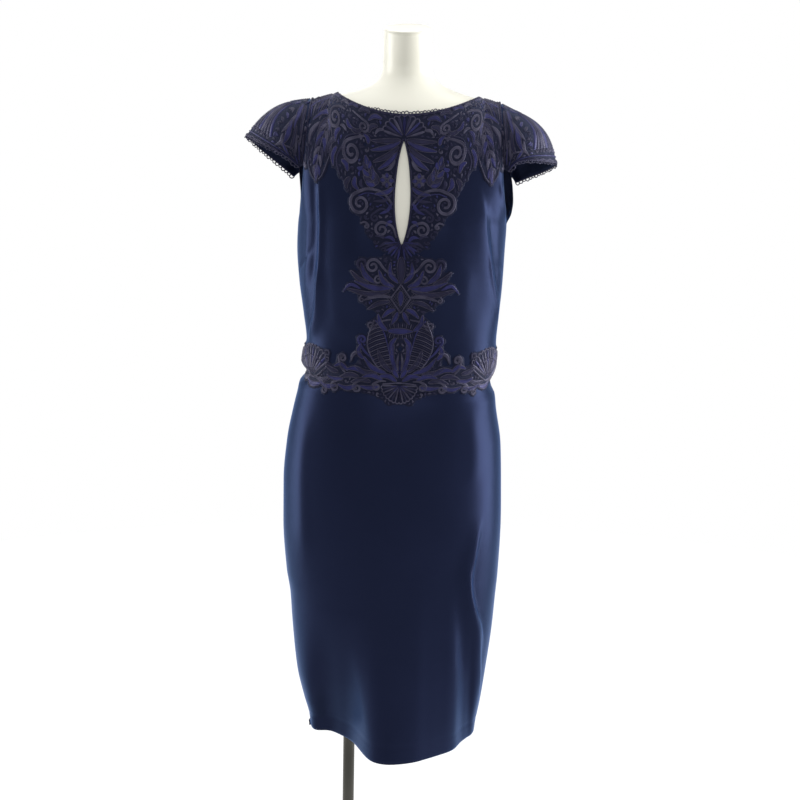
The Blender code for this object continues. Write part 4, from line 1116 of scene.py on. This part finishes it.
def embroider_sleeve(sign):
    """Laid out 200 wide along the armhole and 100 outwards, so all is stretched to the sleeve's real size."""
    e = Stitching(sleeve_carrier(sign), step=1.1, lift=0.6)
    more = {"mirror": False}
    for k in range(15):
        t = (k - 7) / 7
        e.strip([(t * 14, 30 - 6 * abs(t)), (t * 25, 56), (t * 38, 84)], [0.6, 1.3, 2.1, 2.5, 1.9], 1.3,
                ("violet", "black", "black", "grey")[k % 4], vein=0.5, across=5, **more)
    for k in range(14):
        a, b = ((k - 7) / 7 + 0.02) * 38, ((k - 6) / 7 - 0.02) * 38
        e.cord([(a, 84), ((a + b) / 2, 89), (b, 84)], 1.0, 1.4, ("grey", "black")[k % 2], **more)
    e.spray([(0, 3), (2, 14), (-1, 28)], 4, 13, 6, ["violet", "black"], **more)
    for flip in (-1, 1):
        e.leaves(1.5, [
            ("violet", 7, 22, 10, 38, 20, 52, 34), ("black", 6, 26, 6, 46, 12, 66, 22),
            ("violet", 8, 40, 30, 52, 50, 58, 74), ("black", 7, 50, 26, 64, 44, 70, 70),
            ("grey", 7, 60, 30, 74, 48, 80, 72), ("grey", 6, 48, 60, 54, 76, 50, 92),
            ("violet", 6, 56, 74, 66, 82, 76, 88), ("violet", 6, 70, 30, 84, 40, 92, 56),
            ("grey", 6, 36, 20, 44, 40, 46, 62), ("black", 6, 64, 10, 80, 16, 94, 24),
            ("violet", 5, 78, 64, 88, 70, 94, 82)], flip, **more)
        e.curl([(44 * flip, 8), (60 * flip, 16), (70 * flip, 24)], 6, 1.3, flip, 1.6, 1.8, "grey", **more)
        e.curl([(52 * flip, 84), (64 * flip, 72), (72 * flip, 60)], 6, 1.3, flip, 1.6, 1.8, "grey", **more)
    hem = [(u, 98.2 + 0.8 * math.sin(u * 0.5)) for u in np.linspace(-98, 98, 60)]
    e.cord(hem, 1.4, 1.7, "black", **more)
    e.cord([(u, 93) for u in np.linspace(-97, 97, 50)], 0.9, 1.3, "violet", **more)
    return e


def tube(points, faces, ring, out, radius, sides=5):
    """A round thread along a path in space, added to points and faces."""
    tangent = unit(np.gradient(ring, axis=0))
    first = unit(np.cross(tangent, out))
    second = np.cross(tangent, first)
    base = len(points)
    for i in range(len(ring)):
        for m in range(sides):
            a = 2 * math.pi * m / sides + i * 0.5
            points.append(ring[i] + (first[i] * math.cos(a) + second[i] * math.sin(a)) * radius)
    for i in range(len(ring) - 1):
        for m in range(sides):
            a, b = base + i * sides + m, base + i * sides + (m + 1) % sides
            faces.append((a, b, b + sides, a + sides))


def picots(name, edge, away, out, sizes, pitch, cord):
    """Small thread loops that stand out past an edge, and the cord they are worked on."""
    length = lengths_along(edge)
    points, faces = [], []
    count = int(length[-1] / pitch)
    for k in range(count):
        at = (k + 0.5) * length[-1] / count
        p, f, n = (sampled(at, length, line) for line in (edge, away, out))
        d, f = unit(sampled(at + 0.5, length, edge) - p), unit(f)
        turn = np.linspace(-0.8 * math.pi, 0.8 * math.pi, 11)
        size = np.interp(at, np.linspace(0, length[-1], len(sizes)), sizes) * (1 + 0.15 * math.sin(k * 2.3))
        ring = p + f * size * 0.5 + (f * np.cos(turn)[:, None] + d * np.sin(turn)[:, None] * 0.85) * size
        ring = ring + n * (0.25 * size * math.sin(k * 1.7) * np.cos(turn)[:, None])
        tube(points, faces, ring, np.broadcast_to(n, ring.shape), 0.15 * size + 0.32)
    at = np.linspace(0, length[-1], int(length[-1] / 1.1))
    line, outs = sampled(at, length, edge), sampled(at, length, out)
    tube(points, faces, line + outs * 0.35 * np.sin(at * 1.9)[:, None], outs, cord, 7)
    return piece(name, points, faces, ["black"])


def seam_cord(name, line, out, radius):
    """A twisted cord that covers the seam between a sleeve and the bodice."""
    length = lengths_along(line)
    at = np.linspace(0, length[-1], int(length[-1] / 0.9))
    path, outs = sampled(at, length, line), sampled(at, length, out)
    points, faces = [], []
    side = unit(np.cross(np.gradient(path, axis=0), outs))
    for phase in (0, 2.09, 4.19):
        twist = (at / 2.6 + phase)[:, None]
        strand = path + (outs * np.sin(twist) + side * np.cos(twist)) * radius * 0.5
        tube(points, faces, strand, outs, radius * 0.62, 6)
    return piece(name, points, faces, ["black"])


yoke, column, waist = embroider_yoke(), embroider_column(), embroider_waist()
# Each lace's small sprigs, and where they go; p is a place (w, level).
yoke.fill((8, 6, 4.6, 3.4, 2.6), lambda p: p[1] > read(YOKE_EDGE, "level", abs(p[0]) * 0.96) + 3)
column.fill((6, 4.4, 3.2, 2.4), lambda p: 982 < p[1] < 1163 and abs(p[0]) < np.interp(
    p[1], COLUMN_REACH["level"], COLUMN_REACH["out"]))
waist.fill((5, 4, 3, 2.4), lambda p: read(WAIST_BOTTOM, "level", abs(p[0]) * 0.85) + 12 < p[1]
           < read(WAIST_TOP, "level", abs(p[0]) * 0.8) - 4)
yoke_rows = np.concatenate([np.arange(1166, NOTCH, 2.5), np.linspace(NOTCH, TOP - 0.6, 40)])
ground("lace_yoke_net", "lace_yoke", yoke, yoke_rows, keyhole=True)
ground("lace_column_net", "lace_column", column, np.arange(979.3, 1164, 2.5))
ground("lace_waist_net", "lace_waist", waist, np.arange(920, 1009, 2.0))
s = np.linspace(-NECK_S, NECK_S, 181)
level = np.full(s.shape, TOP)
edge, outs = surface(FRONT, s, level), normal(FRONT, s, level)
away = unit(edge - surface(FRONT, s, level - 3))
sizes = np.interp(np.abs(np.linspace(-1, 1, 61)), [0, 0.28, 0.36, 1], [3.3, 2.8, 1.0, 1.0])
yoke.build("lace_yoke_stitching")
picots("neckline_picots", edge + outs * 0.4, away, outs, sizes, 5.4, 1.3)
column.build("lace_column_stitching")
waist.build("lace_waist_stitching")
for name, sign in SIDES:
    grid, out = SLEEVE_GRIDS[sign]
    node = "lace_sleeve_" + name
    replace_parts(shell(node + "_net", sleeve_sheet(sign, 2), "net", SLEEVE_NET_LIFT, NET), node)
    stitches = embroider_sleeve(sign)
    stitches.fill((9, 7, 5, 4, 3), lambda p: 3 < p[1] < 90 and abs(p[0]) < 92, mirror=False)
    stitches.build(node + "_stitching")
    picots(node + "_picots", grid[-1] + out[-1] * 0.4, unit(grid[-1] - grid[-3]), out[-1],
                          [3.6, 2.9, 2.4, 2.9, 3.6], 6.2, 1.4)
    seam_cord("armhole_cord_" + name, grid[0] + out[0] * 1.0, out[0], 1.5)


# ---- the form, its pole and base ----

def form_point(side, s, level):
    gap = read(FORM_GAP, "gap", level)[..., None]
    return surface(side, s, level) - normal(side, s, level) * (CLOTH + gap)


def loop(centre, turn):
    return np.stack([centre["x"] + centre["wide"] * np.sin(turn), centre["y"] - centre["deep"] * np.cos(turn),
                     centre["z"] + 0 * turn - centre.get("tilt", 0) * np.cos(turn)], -1)


def arm_plate(first, second, outward):
    across = np.linspace(0, 1, ARM_PLATE["columns"])[None, :, None]
    plate = first[:, None] * (1 - across) + second[:, None] * across
    width = np.linalg.norm(second - first, axis=-1)[:, None]
    step = np.abs(second[:, None, 0] - first[:, None, 0])
    plate[..., 0] += outward * np.sin(math.pi * across[..., 0]) * (
        np.minimum(width * ARM_PLATE["swell"], ARM_PLATE["most"]) - step * ARM_PLATE["settle"])
    return plate


def neck_rows(front_top, front_s, back_top, back_s):
    ring = np.concatenate([front_top, back_top[1:]])
    turn = np.concatenate([front_s, 2 * NECK_S - back_s[1:]]) / NECK_S * math.pi / 2
    along = np.roll(ring[:-1], -1, axis=0) - np.roll(ring[:-1], 1, axis=0)
    along = unit(np.concatenate([along, along[:1]]))
    sides = np.concatenate([normal(FRONT, front_s, TOP), normal(BACK, back_s, TOP)[1:]])
    inward = unit(np.cross(sides, along))
    inward[-1] = inward[0]
    base, top = loop(NECK_BASE, turn), loop(NECK_TOP, turn)
    reach = np.linalg.norm(base - ring, axis=-1, keepdims=True) * NECK_REACH
    up = np.array([0.0, 0.0, 1.0])
    slope = [hermite(ring, inward * reach, base, up * reach, t) for t in np.linspace(0, 1, 25)]
    neck = [base * (1 - t) + top * t for t in np.linspace(0.1, 0.97, 10)]
    middle = top.mean(axis=0)
    rim = [top + (middle - top) * inset - up * drop for inset, drop in NECK_RIM]
    return np.array(slope + neck + rim)


def build_form():
    inner = np.linspace(0, NECK_S, 21)[:-1]
    half = np.concatenate([inner, np.linspace(NECK_S, 1, 17)])
    cols = np.concatenate([-half[:0:-1], half])
    low = np.concatenate([np.arange(FORM_BOTTOM, UNDERARM - 3, 7.0), [UNDERARM]])
    high = np.concatenate([np.arange(UNDERARM, NOTCH - 1, 5.0), np.linspace(NOTCH, TOP, 25)])
    front_low, front_high, back_low, back_high = (
        form_point(side, *np.meshgrid(cols, levels)) for side in (FRONT, BACK) for levels in (low, high))
    for first, second in ((front_low, back_low), (front_high[:1], back_high[:1])):
        for end in (0, -1):
            first[:, end] = second[:, end] = (first[:, end] + second[:, end]) / 2
    for sign in (-1, 1):
        edge_s = sign * np.array([NECK_S, 1.0])
        neck_end, tip_end = (form_point(FRONT, edge_s, TOP) + form_point(BACK, edge_s, TOP)) / 2
        for grid in (front_high, back_high):
            for j in np.flatnonzero(sign * cols >= NECK_S - 1e-9):
                grid[-1, j] = neck_end + (tip_end - neck_end) * (abs(cols[j]) - NECK_S) / (1 - NECK_S)
    # Above the underarm the form's sides are cut flat, a little inside the front edges of the armholes.
    for end, sign in ((0, -1), (-1, 1)):
        limit = sign * front_high[:, end, 0][:, None] - SIDE_INSET
        for grid in (front_high, back_high):
            grid[..., 0] = np.where(sign * grid[..., 0] > limit, sign * limit, grid[..., 0])
    at = np.flatnonzero(np.abs(cols) <= NECK_S + 1e-9)
    neck = neck_rows(front_high[-1, at], cols[at], back_high[-1, at][::-1], cols[at][::-1])
    plates = [arm_plate(front_high[:, 0], back_high[:, 0], -1)[:, ::-1],
              arm_plate(front_high[:, -1], back_high[:, -1], 1)]
    sheets = [front_low, front_high, back_low[:, ::-1], back_high[:, ::-1], *plates, neck]
    points, _, _, faces = sewn([(g, g, np.zeros(g.shape[:2])) for g in sheets])
    index = {key_of(p): i for i, p in enumerate(points)}
    faces.append([index[key_of(p)] for p in neck[-1][:-1]])
    bottom = np.concatenate([front_low[0], back_low[0][::-1][1:]])[:-1]
    ids = [index[key_of(p)] for p in bottom]
    middle, points = bottom.mean(axis=0), points.tolist()
    for scale, drop in BOTTOM_TURN:
        ring = middle + (bottom - middle) * scale
        ring[:, 2] = FORM_BOTTOM - drop if (scale, drop) == BOTTOM_TURN[-1] else bottom[:, 2] - drop
        new = list(range(len(points), len(points) + len(ring)))
        points += ring.tolist()
        faces += [[ids[n], ids[n - 1], new[n - 1], new[n]] for n in range(len(ids))]
        ids = new
    faces.append(ids[::-1])
    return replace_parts(piece("form_torso_shell", points, faces, ["shell"]), "form_torso")


def turned(name, node, x, y, profile, kind, sides=96):
    """A smooth turned part from a profile of (radius, z); corners in it are rounded by close rows."""
    rows = []
    profile = [np.array(corner, float) for corner in profile]
    for p, q, r in zip(profile[-1:] + profile[:-1], profile, profile[1:] + profile[:1]):
        if q[0] == 0:
            rows.append(q)
            continue
        cut = min(CORNER, np.linalg.norm(p - q) / 3, np.linalg.norm(r - q) / 3)
        a, b = q + unit(p - q) * cut, q + unit(r - q) * cut
        rows += [(1 - t) ** 2 * a + 2 * t * (1 - t) * q + t * t * b for t in (0, 0.25, 0.5, 0.75, 1)]
    angle = np.linspace(0, 2 * math.pi, sides, endpoint=False)
    points = [(x + r * math.cos(t), y + r * math.sin(t), z) for r, z in rows for t in angle]
    faces = []
    count = len(rows)
    closed = profile[0][0] > 0
    for i in range(count if closed else count - 1):
        low, high = i * sides, (i + 1) % count * sides
        for k in range(sides):
            after = (k + 1) % sides
            faces.append((low + k, low + after, high + after, high + k))
    made = piece(name, points, faces, [kind])
    # The points on the axis are welded into one.
    work = bmesh.new()
    work.from_mesh(made.data)
    bmesh.ops.remove_doubles(work, verts=work.verts, dist=1e-7)
    work.to_mesh(made.data)
    work.free()
    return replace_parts(made, node)


form = build_form()
x, y, r = POLE["x"], POLE["y"], POLE["radius"]
floor_z, ceiling = BASE["thick"] + FIT, FORM_BOTTOM - BOTTOM_TURN[-1][1] - FIT
rim, thick = BASE["radius"], BASE["thick"]
turned("base_disc", "base_plate", BASE["x"], 0, [
    (0, 0), (rim - 3, 0), (rim, 1.8), (rim, 9), (rim - 0.9, 11.1), (rim - 3, thick),
    (0, thick)], "paint", 160)
turned("pole_tube", "pole", x, y, [(0, floor_z), (r, floor_z), (r, ceiling), (0, ceiling)], "steel")
wide, top = HUB["radius"], floor_z + HUB["height"]
turned("base_socket", "base_hub", x, y, [
    (r + FIT, floor_z), (wide, floor_z), (wide, top - HUB["shoulder"]), (wide - HUB["slope"], top),
    (r + FIT, top)], "steel")
wide, low, edge = COLLAR["radius"], ceiling - COLLAR["height"], COLLAR["edge"]
turned("form_collar", "pole_collar", x, y, [
    (r + FIT, low), (wide - edge, low), (wide, low + edge), (wide, ceiling), (r + FIT, ceiling)], "steel")


# ---- the size of each sheet of cloth laid flat ----


def cut_size(grids):
    """Greatest width and length in mm of a panel laid flat, from the grids that lie side by side in it."""
    width = sum(np.linalg.norm(np.diff(g, axis=1), axis=-1).sum(axis=1) for g in grids).max()
    length = max(np.linalg.norm(np.diff(g, axis=0), axis=-1).sum(axis=0).max() for g in grids)
    return width, length


CUTS = {name: cut_size([patch[0] for patch in patches]) for name, patches in cloth.items()}
for name, sign in SIDES:
    CUTS["sleeve_" + name] = CUTS["lace_sleeve_" + name] = cut_size([SLEEVE_GRIDS[sign][0]])
CUTS |= {"lace_yoke": (350, 252), "lace_column": (190, 186), "lace_waist": (404, 90)}


# ---- floor, light and camera ----

FLOOR_RADIUS, FLOOR_SIDES = 2.6, 96
LIT_BY, SEEN = 0.54, 1.0

floor = bpy.data.meshes.new("floor")
around = np.linspace(0, 2 * math.pi, FLOOR_SIDES, endpoint=False)
floor.from_pydata([(*(FLOOR_RADIUS * circle(t)), 0) for t in around], [], [tuple(range(FLOOR_SIDES))])
ground_plane = placed("floor", floor)
m = Nodes("pale_floor", Roughness=0.7, Specular_IOR_Level=0.2, Emission_Color=(1, 1, 1, 1),
          Emission_Strength=0.92)
m.vary("Base Color", m.noise(2, 2), (0.10, 0.10, 0.10), (0.12, 0.12, 0.12))
floor.materials.append(m.material)

# A white world: the camera sees it at full strength, and it lights the dress with a little more than half.
world = bpy.data.worlds.new("studio")
bpy.context.scene.world = world
world.use_nodes = True
tree = world.node_tree
back_light = tree.nodes["Background"]
seen = tree.nodes.new("ShaderNodeBackground")
for node, strength in ((back_light, LIT_BY), (seen, SEEN)):
    node.inputs["Color"].default_value = (1, 1, 1, 1)
    node.inputs["Strength"].default_value = strength
mix = tree.nodes.new("ShaderNodeMixShader")
rays = tree.nodes.new("ShaderNodeLightPath")
tree.links.new(rays.outputs["Is Camera Ray"], mix.inputs["Fac"])
tree.links.new(back_light.outputs[0], mix.inputs[1])
tree.links.new(seen.outputs[0], mix.inputs[2])
tree.links.new(mix.outputs[0], tree.nodes["World Output"].inputs["Surface"])


def stand(obj, x, y, z, place):
    """Puts an object at a place, its axes along x, y and z."""
    obj.matrix_world = Matrix([[x[i], y[i], z[i], place[i]] for i in range(3)] + [[0, 0, 0, 1]])


def softbox(name, place, aim, size, power):
    light = bpy.data.lights.new(name, "AREA")
    light.shape, light.size, light.size_y, light.energy = "RECTANGLE", size[0], size[1], power
    z = unit(np.subtract(place, aim))
    x = unit(np.cross((0, 0, 1), z)) if abs(z[2]) < 0.99 else np.array([1.0, 0, 0])
    stand(placed(name, light), x, np.cross(z, x), z, place)


softbox("side_left", (-1.9, 0.25, 1.15), (0, 0, 0.9), (1.0, 2.2), 38)
softbox("side_right", (1.9, 0.15, 1.15), (0, 0, 0.9), (1.0, 2.2), 68)
softbox("overhead", (0, 0.2, 3.2), (0, 0, 0), (3.4, 3.4), 46)
softbox("front", (0.3, -3.4, 2.3), (0, 0, 1.1), (2.0, 1.6), 16)
softbox("rear", (-0.9, 3.2, 2.3), (0, 0, 1.1), (2.0, 1.6), 12)

# The camera stands a little to the right of the middle, looks down on the waist and leans slightly.
TURN, TILT, ROLL = 2.5, 10.8, 1.1
AIM_HEIGHT, DISTANCE, LENS, SENSOR = 0.92, 2.40, 67.5, 36.0
turn, tilt, roll = np.radians([TURN, TILT, ROLL])
back = np.array([math.sin(turn) * math.cos(tilt), -math.cos(turn) * math.cos(tilt), math.sin(tilt)])
side = np.array([math.cos(turn), math.sin(turn), 0.0])
up = np.cross(back, side)
right = side * math.cos(roll) + up * math.sin(roll)
up = -side * math.sin(roll) + up * math.cos(roll)
eye = np.array([SHIFT[0] / 1000, 0, AIM_HEIGHT]) + back * DISTANCE
lens = bpy.data.cameras.new("camera")
lens.sensor_width, lens.lens = SENSOR, LENS
camera = placed("camera", lens)
stand(camera, right, up, back, eye)
bpy.context.scene.camera = camera
bpy.context.scene.view_settings.view_transform = "Standard"
